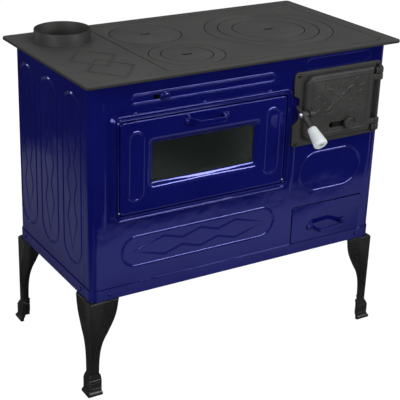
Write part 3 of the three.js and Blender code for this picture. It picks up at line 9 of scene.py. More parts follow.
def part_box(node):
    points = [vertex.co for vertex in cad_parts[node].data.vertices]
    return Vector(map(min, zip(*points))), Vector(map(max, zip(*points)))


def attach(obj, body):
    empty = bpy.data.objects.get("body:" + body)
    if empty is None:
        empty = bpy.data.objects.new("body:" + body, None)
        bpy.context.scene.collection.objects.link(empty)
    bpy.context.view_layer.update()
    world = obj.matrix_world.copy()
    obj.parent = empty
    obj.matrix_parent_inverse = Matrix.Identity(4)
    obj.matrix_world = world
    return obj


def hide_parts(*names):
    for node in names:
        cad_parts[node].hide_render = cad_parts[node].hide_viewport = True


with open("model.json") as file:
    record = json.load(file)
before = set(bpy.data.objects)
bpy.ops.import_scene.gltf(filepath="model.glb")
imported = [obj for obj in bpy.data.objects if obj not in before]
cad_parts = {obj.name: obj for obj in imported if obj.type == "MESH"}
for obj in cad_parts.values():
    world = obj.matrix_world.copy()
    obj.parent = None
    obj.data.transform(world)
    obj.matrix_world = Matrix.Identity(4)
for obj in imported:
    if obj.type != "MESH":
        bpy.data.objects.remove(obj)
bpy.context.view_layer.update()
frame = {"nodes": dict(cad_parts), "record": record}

# Camera: it stands left of the stove and above its hob, with a long lens.
# The picture is a crop, so the axis of the lens passes left of its middle.
camera_place = Vector((-1.36924, -2.12174, 1.45226))
camera_yaw = math.radians(28.311)
camera_pitch = math.radians(22.817)
camera_roll = math.radians(0.423)
ahead = Vector((math.sin(camera_yaw), math.cos(camera_yaw), 0)) * math.cos(camera_pitch)
ahead.z = -math.sin(camera_pitch)
level = Vector((math.cos(camera_yaw), -math.sin(camera_yaw), 0))
turned_level = Matrix.Rotation(-camera_roll, 3, ahead) @ level
turned_up = turned_level.cross(ahead)
camera = bpy.data.objects.new("camera", bpy.data.cameras.new("camera"))
camera.data.lens = 97.29
camera.data.sensor_width = 36
camera.data.shift_x = 0.18453
camera.data.shift_y = -0.03435
camera.matrix_world = Matrix((turned_level, turned_up, -ahead)).transposed().to_4x4()
camera.location = camera_place
bpy.context.scene.collection.objects.link(camera)
bpy.context.scene.camera = camera
bpy.context.scene.view_settings.view_transform = "Standard"


# Studio: a pale paper floor, a white surround, three strip lamps and a softbox.
# The camera sees white paper. What mirrors in the stove or shows through its glass is painted glow
# on the paper: painted pools of light before the stove and on its left, with painted shadow close
# before the stove, which end softly at places given in metres.
class Wire:
    """A socket of one material or of the world, so that shader sums read as arithmetic."""

    def __init__(self, tree, socket=None):
        self.tree = tree
        self.socket = socket

    def node(self, kind, settings=None, sockets=None, output=0):
        """Adds a node, sets it, fills or joins its sockets and hands back one of its outputs."""
        added = self.tree.nodes.new(kind)
        for name, value in (settings or {}).items():
            if name == "stops":
                for stop, (place, shade) in zip(added.color_ramp.elements, value):
                    stop.position = place
                    stop.color = (*shade, 1)
            else:
                setattr(added, name, value)
        for name, value in (sockets or {}).items():
            if isinstance(value, Wire):
                self.tree.links.new(value.socket, added.inputs[name])
            else:
                added.inputs[name].default_value = value
        return Wire(self.tree, added.outputs[output]) if added.outputs else None

    def maths(self, operation, first, second):
        return self.node("ShaderNodeMath", {"operation": operation}, {0: first, 1: second})

    def __add__(self, other):
        return self.maths("ADD", self, other)

    def __sub__(self, other):
        return self.maths("SUBTRACT", self, other)

    def __rsub__(self, other):
        return self.maths("SUBTRACT", other, self)

    def __mul__(self, other):
        return self.maths("MULTIPLY", self, other)

    __radd__ = __add__
    __rmul__ = __mul__

    def part(self, axis):
        """One of the three parts of a place or a direction."""
        return self.node("ShaderNodeSeparateXYZ", {}, {0: self}, axis)

    def faded(self, start, end, first, last, way="SMOOTHSTEP"):
        """A value that passes from one level to another while this one goes from start to end."""
        sockets = {"Value": self, "From Min": start, "From Max": end, "To Min": first, "To Max": last}
        return self.node("ShaderNodeMapRange", {"interpolation_type": way}, sockets)

    def blended(self, first, second):
        """Two colours mixed by this value, all of the second at 1."""
        sockets = {"Factor": self, "A": first, "B": second}
        return self.node("ShaderNodeMix", {"data_type": "RGBA"}, sockets, 2)

    def feed(self, socket):
        """Joins this value to a socket that is there already."""
        self.tree.links.new(self.socket, socket)


def rays(wire):
    """Whether a ray comes from the camera, off something shiny or through glass."""
    kinds = ("Is Camera Ray", "Is Glossy Ray", "Is Transmission Ray")
    return [wire.node("ShaderNodeLightPath", output=kind) for kind in kinds]


floor_side = 14
paper_glow = 0.62
left_glow = 0.20
far_glow = 0.02
white_share = 0.9
white_glow = 1.08
floor_drop = 0.0004
paper_mesh = bpy.data.meshes.new("studio_floor")
half = floor_side / 2
corners = [(-half, -half, 0), (half, -half, 0), (half, half, 0), (-half, half, 0)]
paper_mesh.from_pydata(corners, [], [(0, 1, 2, 3)])
floor = bpy.data.objects.new("studio_floor", paper_mesh)
floor.location.z = -floor_drop
bpy.context.scene.collection.objects.link(floor)
paper = bpy.data.materials.new("studio_paper")
paper.use_nodes = True
paper.node_tree.nodes.clear()
wire = Wire(paper.node_tree)
seen, shiny, through = rays(wire)
place = wire.node("ShaderNodeNewGeometry", output="Position")
across, deep = place.part("X"), place.part("Y")
# Painted light: pools of glow that only reflections and glass show, dimmed close before the stove as painted
# shadow.
painted_front_pool = across.faded(-0.6, -0.2, 0, paper_glow) * deep.faded(-0.75, -0.4, 1, 0.12)
painted_front_pool = painted_front_pool * across.faded(0.5, 0.95, 1, 0.7)
painted_left_pool = across.faded(-1.25, -0.80, 0, left_glow) * across.faded(-0.75, -0.45, 1, 0.1)
painted_pool = (painted_front_pool + painted_left_pool) * deep.faded(-1.04, -0.84, 0, 1)
painted_pool = painted_pool * deep.faded(1.25, 1.6, 1, 0) + far_glow
grain = wire.node("ShaderNodeTexNoise", {}, {"Vector": place, "Scale": 40.0})
fibres = grain.blended((0.78, 0.78, 0.78, 1), (0.83, 0.83, 0.83, 1))
dull = wire.node("ShaderNodeBsdfDiffuse", {}, {"Color": fibres})
glow = wire.node("ShaderNodeEmission", {}, {"Color": seen * white_glow + (1 - seen) * painted_pool})
both = wire.node("ShaderNodeMixShader", {}, {0: seen * white_share + shiny + through, 1: dull, 2: glow})
wire.node("ShaderNodeOutputMaterial", {}, {"Surface": both})
paper_mesh.materials.append(paper)

ambient = 0.45
mirrored_surround = 0.16
sky = bpy.data.worlds.new("studio")
sky.use_nodes = True
sky.node_tree.nodes.clear()
wire = Wire(sky.node_tree)
seen, shiny, through = rays(wire)
visible = (seen + through) * (1 - ambient) + shiny * (mirrored_surround - ambient) + ambient
back = wire.node("ShaderNodeBackground", {}, {"Color": (1, 1, 1, 1), "Strength": visible})
wire.node("ShaderNodeOutputWorld", {}, {"Surface": back})
bpy.context.scene.world = sky


def lamp(name, place, aim, width, height, power):
    """A soft strip lamp turned towards a point."""
    light = bpy.data.lights.new(name, "AREA")
    light.shape = "RECTANGLE"
    light.size = width
    light.size_y = height
    light.energy = power
    holder = bpy.data.objects.new(name, light)
    holder.location = place
    holder.rotation_euler = (Vector(aim) - Vector(place)).to_track_quat("-Z", "Y").to_euler()
    bpy.context.scene.collection.objects.link(holder)


lamp("strip_front", (1.15, -2.3, 1.43), (0, -0.2, 0.55), 1.9, 0.26, 31)
lamp("strip_above", (0.3, -1.3, 2.6), (0, 0, 0.7), 2.0, 0.34, 23)
lamp("strip_behind", (-1.7, 1.9, 1.0), (-0.4, 0, 0.5), 0.3, 0.9, 4)
lamp("softbox_left", (-2.6, -1.0, 1.5), (-0.3, 0, 0.45), 1.3, 1.3, 36)


# Enamelled front: one sheet of steel, bent round both front corners, with a cobalt glaze fired
# on. It is cut out for the oven, the firebox, the ash drawer and the damper, and its rear edges
# meet the sheets of the sides.
def fresh(name, settings):
    """A new material with a plain shader, whose fixed values are set on its own sockets."""
    material = bpy.data.materials.new(name)
    material.use_nodes = True
    shader = material.node_tree.nodes["Principled BSDF"]
    for socket, value in settings.items():
        shader.inputs[socket].default_value = value
    return material, shader, Wire(material.node_tree)


def own_place(wire):
    """Places in the piece's own space, so that its finish rides with it."""
    return wire.node("ShaderNodeTexCoord", output="Object")


def noise(wire, scale, detail=2.0, roughness=0.5):
    """Grey clouds that ride with the piece."""
    sockets = {"Vector": own_place(wire), "Scale": scale, "Detail": detail, "Roughness": roughness}
    return wire.node("ShaderNodeTexNoise", {}, sockets)


painted_shade_fade = 0.0005


def dress(wire, shader, colours, clouds, rough, bumps, sides=None, foot=None):
    """Colour between two shades, roughness and bumps, each led by noise.

    A casting may take painted shade: a darker colour on its sides and undersides, and on all of it
    below its foot level, that stands in for the shade in its gaps and slots.
    """
    stops = [(0.3, colours[0]), (0.7, colours[1])]
    shade = wire.node("ShaderNodeValToRGB", {"stops": stops}, {"Fac": clouds})
    if sides:
        # Painted shade: faces that do not look up, and all of the piece below its foot level, take the
        # darker colour.
        lit_upward = wire.node("ShaderNodeNewGeometry", output="True Normal").part("Z") * 2 - 1
        above = own_place(wire).part("Z").faded(foot - painted_shade_fade, foot + painted_shade_fade, 0, 1, "LINEAR")
        shade = (lit_upward * above).blended((*sides, 1), shade)
    shade.feed(shader.inputs["Base Color"])
    rough.feed(shader.inputs["Roughness"])
    bumpy = None
    for heights, depth in bumps:
        sockets = {"Strength": 1.0, "Distance": depth, "Height": heights}
        if bumpy is not None:
            sockets["Normal"] = bumpy
        bumpy = wire.node("ShaderNodeBump", {}, sockets)
    bumpy.feed(shader.inputs["Normal"])


enamel, shader, wire = fresh("cobalt_enamel", {"IOR": 1.7, "Specular Tint": (0.36, 0.38, 1, 1)})
dress(
    wire, shader,
    [(0.0022, 0.0030, 0.064), (0.0034, 0.0046, 0.077)],
    noise(wire, 7.0, 4.0),
    noise(wire, 25.0) * 0.04 + 0.02,
    [(noise(wire, 9.0, 3.0), 0.0019), (noise(wire, 60.0), 0.00003)],
)
smooth_angle = math.radians(38)


def make_piece(name, shape, finish, body, replaces=()):
    """One piece from its points and faces: closed, smooth where it is round, riding on its body."""
    points, faces = shape
    mesh = bpy.data.meshes.new(name)
    mesh.from_pydata([tuple(point) for point in points], [], faces)
    work = bmesh.new()
    work.from_mesh(mesh)
    bmesh.ops.remove_doubles(work, verts=work.verts, dist=1e-6)
    bmesh.ops.recalc_face_normals(work, faces=work.faces)
    work.to_mesh(mesh)
    work.free()
    mesh.shade_smooth()
    mesh.set_sharp_from_angle(angle=smooth_angle)
    mesh.materials.append(finish)
    piece = bpy.data.objects.new(name, mesh)
    bpy.context.scene.collection.objects.link(piece)
    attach(piece, body)
    if replaces:
        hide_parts(*replaces)
    return piece


def arc(u, v, radius, start, end, steps=8):
    """Points on part of a circle, from one angle to another in degrees."""
    angles = [math.radians(start + (end - start) * i / steps) for i in range(steps + 1)]
    return [(u + radius * math.cos(angle), v + radius * math.sin(angle)) for angle in angles]


def bent_sheet(plan, levels, thickness, holes=()):
    """An upright sheet that follows a plan seen from above, with oblong holes in its front."""
    inner = []
    for i, point in enumerate(plan):
        before = Vector(plan[max(i - 1, 0)])
        after = Vector(plan[min(i + 1, len(plan) - 1)])
        along = (after - before).normalized()
        inner.append((point[0] - along.y * thickness, point[1] + along.x * thickness))
    rows = len(levels)
    points = [(x, y, z) for line in (plan, inner) for x, y in line for z in levels]

    def index(side, column, row):
        return side * len(plan) * rows + column * rows + row

    def solid(column, row):
        if not (0 <= column < len(plan) - 1 and 0 <= row < rows - 1):
            return False
        x = (plan[column][0] + plan[column + 1][0]) / 2
        z = (levels[row] + levels[row + 1]) / 2
        return not any(left < x < right and low < z < high for left, right, low, high in holes)

    faces = []
    for column in range(len(plan) - 1):
        for row in range(rows - 1):
            if not solid(column, row):
                continue
            corners = [(column, row), (column + 1, row), (column + 1, row + 1), (column, row + 1)]
            for side in (0, 1):
                faces.append(tuple(index(side, *corner) for corner in corners))
            beside = [(column, row - 1), (column + 1, row), (column, row + 1), (column - 1, row)]
            for edge, neighbour in enumerate(beside):
                if not solid(*neighbour):
                    first, second = corners[edge], corners[(edge + 1) % 4]
                    ends = [(0, first), (0, second), (1, second), (1, first)]
                    faces.append(tuple(index(side, *corner) for side, corner in ends))
    return points, faces


front_low, front_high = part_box("front_panel")
sheet = 0.0016
corner_radius = 0.018
corner_steps = 10
body_left, body_right = front_low.x, front_high.x
body_front = front_low.y
body_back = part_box("back_panel")[1].y
body_bottom, body_top = front_low.z, front_high.z
door_low, door_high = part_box("oven_door_panel")
mouth_low, mouth_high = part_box("firebox_frame")
drawer_low, drawer_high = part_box("ash_drawer_front")
knob_low, knob_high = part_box("damper_knob")
knob_x = (knob_low.x + knob_high.x) / 2
knob_z = (knob_low.z + knob_high.z) / 2
slot_half = 0.005
damper_travel = 0.024
slot_left = knob_x - (damper_travel + slot_half)
slot_right = knob_x + slot_half
oven_rim = 0.004
mouth_sides = 0.045
mouth_foot = 0.035
mouth_head = 0.028
drawer_gap = 0.0012
drawer_head_gap = 0.0020
front_holes = [
    (door_low.x - oven_rim, door_high.x + oven_rim, door_low.z - oven_rim, door_high.z + oven_rim),
    (
        mouth_low.x + mouth_sides, mouth_high.x - mouth_sides,
        mouth_low.z + mouth_foot, mouth_high.z - mouth_head,
    ),
    (
        drawer_low.x - 2 * drawer_gap, drawer_high.x + drawer_gap,
        drawer_low.z - drawer_gap, drawer_high.z + drawer_head_gap,
    ),
    (slot_left, slot_right, knob_z - slot_half, knob_z + slot_half),
]


def front_plan(out):
    """The front and its two corners seen from above, standing out from the body."""
    radius = corner_radius + out
    left, right = body_left + corner_radius, body_right - corner_radius
    bend = body_front + corner_radius
    breaks = sorted({x for hole in front_holes for x in hole[:2]})
    return [
        (left - radius, front_high.y), *arc(left, bend, radius, 180, 270, corner_steps),
        *[(x, bend - radius) for x in breaks],
        *arc(right, bend, radius, 270, 360, corner_steps), (right + radius, front_high.y),
    ]


front_levels = sorted({body_bottom, body_top, *[z for hole in front_holes for z in hole[2:]]})
front_sheet = bent_sheet(front_plan(0), front_levels, sheet, front_holes)
make_piece("front_sheet", front_sheet, enamel, "stove_body", ["front_panel"])


# Pressed lines of the front: soft ridges pushed out of the steel before it was enamelled.
# They are a long track with three diamonds, an oval, a track under the table, slim upright
# lines and the damper's track.
def loft(rings, wrapped=False):
    """A skin over rings of as many points each, closed at its ends or back onto its first ring."""
    count = len(rings[0])
    points = [point for ring in rings for point in ring]
    faces = []
    for row in range(len(rings) if wrapped else len(rings) - 1):
        here = row * count
        there = (row + 1) % len(rings) * count
        for i in range(count):
            j = (i + 1) % count
            faces.append((here + i, here + j, there + j, there + i))
    if not wrapped:
        faces.append(tuple(range(count)))
        faces.append(tuple(range(len(points) - count, len(points))))
    return points, faces


ridge_section = [i / 4 for i in range(-4, 5)]
ridge_foot = 0.00002


def ridge(path, out, width, rise, closed=True):
    """A ridge along a path: its section swells softly out of the sheet; widths and rises may vary."""
    widths = width if isinstance(width, list) else [width] * len(path)
    rises = rise if isinstance(rise, list) else [rise] * len(path)
    out = Vector(out)
    rings = []
    for i, place in enumerate(path):
        place = Vector(place)
        before = place - Vector(path[i - 1]) if closed or i > 0 else Vector(path[1]) - place
        after = Vector(path[(i + 1) % len(path)]) - place if closed or i < len(path) - 1 else before
        sides = [out.cross(step).normalized() for step in (before, after)]
        side = (sides[0] + sides[1]).normalized()
        side /= max(side.dot(sides[0]), 0.5)
        ring = []
        for share in ridge_section:
            swell = rises[i] * math.cos(share * math.pi / 2) ** 2 + ridge_foot
            ring.append(place + side * share * widths[i] / 2 + out * swell)
        rings.append(ring)
    return loft(rings, closed)


def joined(*shapes):
    """Several shapes as one."""
    points, faces = [], []
    for more_points, more_faces in shapes:
        start = len(points)
        points.extend(more_points)
        faces.extend(tuple(start + i for i in face) for face in more_faces)
    return points, faces


def round_oblong(u, v, width, height, radius, turn=6, side=1):
    """A round-cornered oblong about a middle, anticlockwise, with extra points on its sides."""
    corners = [(1, -1, 270), (1, 1, 0), (-1, 1, 90), (-1, -1, 180)]
    aside, above = width / 2 - radius, height / 2 - radius
    arcs = [
        arc(u + across * aside, v + up * above, radius, start, start + 90, turn)
        for across, up, start in corners
    ]
    points = []
    for i, run in enumerate(arcs):
        points.extend(run)
        last, following = run[-1], arcs[(i + 1) % 4][0]
        for j in range(1, side):
            share = j / side
            points.append(tuple(last[k] + (following[k] - last[k]) * share for k in (0, 1)))
    return points


diamond_share = 0.387
diamond_pitch_share = 0.2335
diamond_height = 0.0475


def diamond_chain(u, v, length, height, standing=False):
    """Three diamonds that run into each other along a track."""
    reach, pitch = length * diamond_share / 2, length * diamond_pitch_share
    waist = height / 2 * (1 - pitch / 2 / reach)
    upper = [(-pitch - reach, 0)]
    for place in (-1, 0, 1):
        upper.append((place * pitch, height / 2))
        if place < 1:
            upper.append(((place + 0.5) * pitch, waist))
    upper.append((pitch + reach, 0))
    lower = [(along, -across) for along, across in reversed(upper[1:-1])]
    return [(u + a, v + b) if not standing else (u + b, v + a) for a, b in upper + lower]


ridge_width = 0.0070
ridge_rise = 0.0015
fine_width = 0.006
fine_rise = 0.0009
body_height = body_top - body_bottom
oven_x = (door_low.x + door_high.x) / 2
fire_x = (mouth_low.x + mouth_high.x) / 2


def body_level(share):
    """The height at a share of the body."""
    return body_bottom + body_height * share


lower_track = (oven_x, body_level(0.2084), 0.423, 0.0787)
crown_track = (fire_x, body_level(0.9482), 0.193, 0.033)
fire_oval = (fire_x, body_level(0.4112), 0.189, 0.105)
damper_track = (oven_x, knob_z, 0.381, 0.022)
slim_share = 0.6023
slim_z = body_level(0.3178 + slim_share / 2)
slim_height = body_height * slim_share
slim_width = 0.010
slim_rise = 0.0013


def on_front(points, y=body_front):
    """Flat points (x, z) put on an upright plane."""
    return [(u, y, v) for u, v in points]


sliver = 1e-5


def track_path(u, v, width, height, steps=8, grow=-ridge_width / 4):
    """The middle line of the ridge round a track, which has full round ends."""
    radius = min(width, height) / 2 + grow
    return round_oblong(u, v, width + 2 * grow, height + 2 * grow, radius - sliver, steps)


forward = (0, -1, 0)
crown_share = 0.5
tracks = [
    ("lower_track", lower_track, 1), ("crown_track", crown_track, crown_share),
    ("fire_oval", fire_oval, 1),
]
for name, track, share in tracks:
    shape = ridge(on_front(track_path(*track)), forward, ridge_width, ridge_rise * share)
    make_piece(name, shape, enamel, "stove_body")
chain = ridge(on_front(diamond_chain(*lower_track[:3], diamond_height)), forward, fine_width, fine_rise)
make_piece("lower_diamonds", chain, enamel, "stove_body")
damper_path = on_front(track_path(*damper_track, grow=-0.001))
damper_ridge = ridge(damper_path, forward, ridge_width, ridge_rise)
make_piece("damper_track", damper_ridge, enamel, "stove_body")
slim_gap = 0.0345
slim_right = 0.118
slim_offset = (door_high.x - door_low.x) / 2 + slim_gap
slim_places = [oven_x - slim_offset, oven_x + slim_offset, fire_x + slim_right]
slim_reach = (slim_height - slim_width) / 2
slim_stops = (-1.03, -1, -0.5, 0, 0.5, 1, 1.03)
tip_width = 0.0005
for number, x in enumerate(slim_places):
    path = [(x, body_front, slim_z + share * slim_reach) for share in slim_stops]
    widths = [tip_width, *[slim_width] * 5, tip_width]
    rises = [0, *[slim_rise] * 5, 0]
    shape = ridge(path, forward, widths, rises, closed=False)
    make_piece(f"slim_line_{number + 1}", shape, enamel, "stove_body")


# Enamelled sides: each is one steel sheet with the same cobalt glaze, bent round its rear
# corner onto the back, with three pressed tracks. In every track stands a chain of three
# diamonds.
side_tracks = 3
side_pitch = 0.124
side_shift = 0.0142
side_middle = (body_front + body_back) / 2 + side_shift
side_track_width = 0.097
side_track_length = body_height * 0.8012
side_track_z = body_level(0.5249)
seam = 0.0010
back_return = 0.030


def side_plan(facing, out):
    """One side and its rear corner seen from above."""
    radius = corner_radius + out
    bend = (body_right - corner_radius, body_back - corner_radius)
    plan = [
        (bend[0] + radius, front_high.y + seam), *arc(*bend, radius, 0, 90, corner_steps),
        (body_right - back_return, bend[1] + radius),
    ]
    return [(facing * x, y) for x, y in plan][::facing]


for facing, side_name in [(-1, "left"), (1, "right")]:
    side_sheet = bent_sheet(side_plan(facing, 0), [body_bottom, body_top], sheet)
    make_piece(
        f"{side_name}_sheet", side_sheet, enamel, "stove_body",
        [f"{side_name}_side_panel"],
    )
    outward = (facing, 0, 0)
    for number in range(side_tracks):
        y = side_middle + (number - (side_tracks - 1) / 2) * side_pitch
        outline = track_path(y, side_track_z, side_track_width, side_track_length, 10)
        chain = diamond_chain(y, side_track_z, side_track_length, diamond_height, standing=True)
        shape = joined(
            ridge([(facing * body_right, u, v) for u, v in outline], outward, ridge_width, ridge_rise),
            ridge([(facing * body_right, u, v) for u, v in chain], outward, fine_width, fine_rise),
        )
        make_piece(f"{side_name}_track_{number + 1}", shape, enamel, "stove_body")


# Plinth: three enamelled bands of steel, a little thicker than the body's sheet, round the foot
# of the stove. Each is bent like the sheet behind it, and held by two screws.
plinth_low, plinth_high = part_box("plinth_front")
plinth_out = body_front - plinth_low.y
plinth_sheet = 0.0018
plinth_levels = [plinth_low.z, plinth_high.z]
make_piece(
    "plinth_band_front", bent_sheet(front_plan(plinth_out), plinth_levels, plinth_sheet),
    enamel, "stove_body", ["plinth_front"],
)
for facing, side_name in [(-1, "left"), (1, "right")]:
    band = bent_sheet(side_plan(facing, plinth_out), plinth_levels, plinth_sheet)
    make_piece(f"plinth_band_{side_name}", band, enamel, "stove_body", [f"plinth_{side_name}"])


# Plinth screws: round-headed steel screws in the same blue as the bands that they hold, two in
# each. Their short shanks go through clearance holes into the body.
def circle(u, v, radius, steps):
    """Points on a whole circle."""
    return arc(u, v, radius, 0, 360, steps)[:-1]


def turned(profile, place, axis, steps=32):
    """A turned piece from its radii and heights along an axis."""
    turn = Vector((0, 0, 1)).rotation_difference(Vector(axis)).to_matrix()
    rings = []
    for radius, height in profile:
        outline = circle(0, 0, max(radius, 1e-7), steps)
        rings.append([Vector(place) + turn @ Vector((u, v, height)) for u, v in outline])
    return loft(rings)


def dome(radius, height):
    """Radii and heights of a low dome."""
    steps = 4
    sweep = [i / steps * math.pi / 2 for i in range(steps + 1)]
    return [(radius * math.cos(angle), height * math.sin(angle)) for angle in sweep]


screw_shank = 0.002
screw_length = 0.006
screw_seat = 0.0022
head_share = 1.3
head_height = 0.0038
for node in frame["nodes"]:
    if not node.startswith("plinth_screw"):
        continue
    low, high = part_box(node)
    middle = (low + high) / 2
    sideways = "front" not in node
    axis = Vector((-1 if "left" in node else 1, 0, 0)) if sideways else Vector(forward)
    radius = (high.z - low.z) / 2
    seat = (high.x - low.x if sideways else high.y - low.y) / 2 - screw_seat
    profile = [(screw_shank, -screw_length), (screw_shank, 0), *dome(radius * head_share, head_height)]
    shape = turned(profile, middle + axis * seat, axis, 16)
    make_piece(f"{node}_head", shape, enamel, "stove_body", [node])


# Cabriole legs: iron castings of two thin walls that meet in the outer edge, painted satin
# black. Fine flutes follow the curved edge of each wall, and the foot is a stepped block with
# ring grooves. Each leg stands under one corner of the body.
black_paint, shader, wire = fresh("black_paint", {"IOR": 1.38})
dress(
    wire, shader,
    [(0.0070, 0.0072, 0.0072), (0.0105, 0.0108, 0.0108)],
    noise(wire, 30.0, 4.0),
    noise(wire, 60.0) * 0.10 + 0.20,
    [(noise(wire, 90.0, 3.0), 0.00008)],
)
leg_stops = [
    (0, 0), (0.185, 0.025), (0.337, 0.095), (0.469, 0.25), (0.58, 0.48), (0.722, 0.745),
    (0.801, 0.86), (0.896, 0.945), (1, 1),
]
leg_reach = 0.074
ankle_reach = 0.023
leg_wall = 0.007
leg_edge = 0.0035
foot_out = 0.014
foot_top = 0.056
flute_pitch = 0.0064
flute_depth = 0.0020
flutes = 5
flute_margin = 0.004
flute_start = 0.12
flute_growth = 5
full_flute_reach = 0.045


def eased(stops, share):
    """A smooth curve through stops that rise together."""
    for i in range(len(stops) - 1):
        (x0, y0), (x1, y1) = stops[i], stops[i + 1]
        if share <= x1:
            before = stops[max(i - 1, 0)]
            after = stops[min(i + 2, len(stops) - 1)]
            run = x1 - x0
            slope0 = (y1 - before[1]) / max(x1 - before[0], 1e-9)
            slope1 = (after[1] - y0) / max(after[0] - x0, 1e-9)
            t = (share - x0) / run
            return (
                (2 * t ** 3 - 3 * t ** 2 + 1) * y0 + (t ** 3 - 2 * t ** 2 + t) * run * slope0
                + (3 * t ** 2 - 2 * t ** 3) * y1 + (t ** 3 - t ** 2) * run * slope1
            )
    return stops[-1][1]


def leg_section(corner, reach, wall, edge, flute):
    """One level of a leg seen from above, its outer edge towards the origin."""
    fluted = []
    ripple_steps = 6 * flutes
    for i in range(ripple_steps + 1):
        back = flute_margin + flute_pitch * flutes * i / ripple_steps
        depth = flute * (1 - abs(math.sin(math.pi * i * flutes / ripple_steps)))
        along = reach - back * min(1, reach / full_flute_reach)
        fluted.append((corner + along, corner + depth))
    bend = arc(corner + edge, corner + edge, edge, 270, 180, 4)
    first = [(corner + reach, corner), *fluted]
    second = [(v, u) for u, v in reversed(first)]
    tip, inside = corner + reach, corner + wall
    return first + bend + second + [(inside, tip), (inside, inside), (tip, inside)]


leg_proud = 0.0038
foot_wall = 0.009
foot_plinth = [
    (0, 0.0128, 0.037), (0.0008, 0.0138, 0.038), (0.0062, 0.0140, 0.038),
    (0.0074, 0.0132, 0.037), (0.0100, 0.0108, 0.034), (0.0150, 0.0090, 0.032),
]
foot_edge = 0.001
leg_levels = [(z, -out, reach, foot_wall, foot_edge, 0) for z, out, reach in foot_plinth]
block_bottom = 0.017
block_height = 0.024
block_out = 0.0098
block_reach = 0.033
block_wall = 0.010
block_edge = 0.0015
groove_depth = 0.0014
groove_waves = 7
groove_steps = 18
for step in range(groove_steps + 1):
    share = step / groove_steps
    z = block_bottom + block_height * share
    groove = groove_depth * max(0, math.sin(share * groove_waves * math.pi - math.pi / 2))
    leg_levels.append((z, groove - block_out, block_reach - groove, block_wall, block_edge, 0))
shoulder_edge = 0.002
foot_shoulder = [
    (0.0425, 0.0086, 0.0315), (0.046, 0.0070, 0.0300), (0.047, 0.0070, 0.0300), (0.0515, 0.0040, 0.0265),
]
leg_levels += [(z, -out, reach, foot_wall, shoulder_edge, 0) for z, out, reach in foot_shoulder]
leg_gap = 0.0003
leg_top = body_bottom - leg_gap
shaft_top = leg_top - 0.004
shaft_steps = 28
for step in range(shaft_steps + 1):
    share = step / shaft_steps
    z = foot_top + (shaft_top - foot_top) * share
    reach = ankle_reach + (leg_reach - ankle_reach) * eased(leg_stops, share)
    depth = flute_depth * min(1, max(0, share - flute_start) * flute_growth)
    leg_levels.append((z, -leg_proud, reach, leg_wall, leg_edge, depth))
rounded_top = [(0.0025, 0.0004, 0.005), (0.0012, 0.0012, 0.007), (0.0004, 0.0024, 0.009), (0, 0.0036, 0.010)]
for drop, inset, edge in rounded_top:
    leg_levels.append((leg_top - drop, inset - leg_proud, leg_reach, leg_wall, edge, flute_depth))
for node in frame["nodes"]:
    if not node.startswith("leg_"):
        continue
    low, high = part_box(node)
    rightward = 1 if "left" in node else -1
    backward = 1 if "front" in node else -1
    corner_x = low.x + foot_out if rightward == 1 else high.x - foot_out
    corner_y = low.y + foot_out if backward == 1 else high.y - foot_out
    rings = []
    for z, *sizes in leg_levels:
        section = leg_section(*sizes)
        rings.append([(corner_x + rightward * u, corner_y + backward * v, z) for u, v in section])
    make_piece(f"{node}_casting", loft(rings), black_paint, "stove_body", [node])


# Cast table: a flat iron plate over the whole stove, cast in sand, with soft edges. It lies on
# the body and frames the hob plate. Two diamonds stand raised on its left part, in front of the
# flue hole.
straight_up = (0, 0, 1)


def plate(outlines, thickness, edge, steps=2):
    """A flat casting with round edges, from 0 up to its thickness: its rim first, then its holes."""
    curve = bpy.data.curves.new("outline", "CURVE")
    curve.dimensions = "2D"
    curve.fill_mode = "BOTH"
    curve.extrude = thickness / 2 - edge
    curve.bevel_depth = edge
    curve.bevel_resolution = steps
    curve.offset = -edge
    for number, outline in enumerate(outlines):
        line = curve.splines.new("POLY")
        line.points.add(len(outline) - 1)
        for spot, (u, v) in zip(line.points, outline if number == 0 else reversed(outline)):
            spot.co = (u, v, 0, 1)
        line.use_cyclic_u = True
    holder = bpy.data.objects.new("outline", curve)
    bpy.context.scene.collection.objects.link(holder)
    shaped = holder.evaluated_get(bpy.context.evaluated_depsgraph_get())
    mesh = bpy.data.meshes.new_from_object(shaped)
    points = [(spot.co.x, spot.co.y, spot.co.z + thickness / 2) for spot in mesh.vertices]
    faces = [tuple(face.vertices) for face in mesh.polygons]
    bpy.data.objects.remove(holder)
    bpy.data.curves.remove(curve)
    bpy.data.meshes.remove(mesh)
    return points, faces


def moved(shape, to):
    """A shape with each of its points (u, v, w) sent to its place."""
    points, faces = shape
    return [to(*point) for point in points], faces


def laid(shape, base):
    """A flat casting laid with its lower side at a height."""
    return moved(shape, lambda u, v, w: (u, v, base + w))


table_low, table_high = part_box("top_plate")
hob_low, hob_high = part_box("hob_plate")
hob_surface = hob_high.z
# Painted shade: below this level, and on all sides that do not face up, the iron takes a darker colour for
# the shade in its gaps, holes and slots.
painted_shade_level = hob_surface - 0.0034
iron_painted_shade = (0.018, 0.018, 0.0175)
cast_iron, shader, wire = fresh("hob_iron", {"IOR": 1.35})
dress(
    wire, shader,
    [(0.052, 0.0512, 0.0505), (0.070, 0.0685, 0.067)],
    noise(wire, 5.0, 5.0, 0.6),
    noise(wire, 35.0, 3.0) * 0.2 + 0.42,
    [(noise(wire, 420.0, 2.0), 0.0004), (noise(wire, 40.0, 3.0), 0.0006)],
    # Painted shade: the darker colour of the sides and of all below the shade level.
    iron_painted_shade, painted_shade_level,
)
collar_low, collar_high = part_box("flue_collar")
collar_x, collar_y = (collar_low.x + collar_high.x) / 2, (collar_low.y + collar_high.y) / 2
collar_radius = 0.0688
plate_thickness = hob_surface - hob_low.z
plate_corner = 0.010
table_edge = 0.0022
hob_gap = 0.0012
table_middle = ((table_low.x + table_high.x) / 2, (table_low.y + table_high.y) / 2)
table_size = (table_high.x - table_low.x, table_high.y - table_low.y)
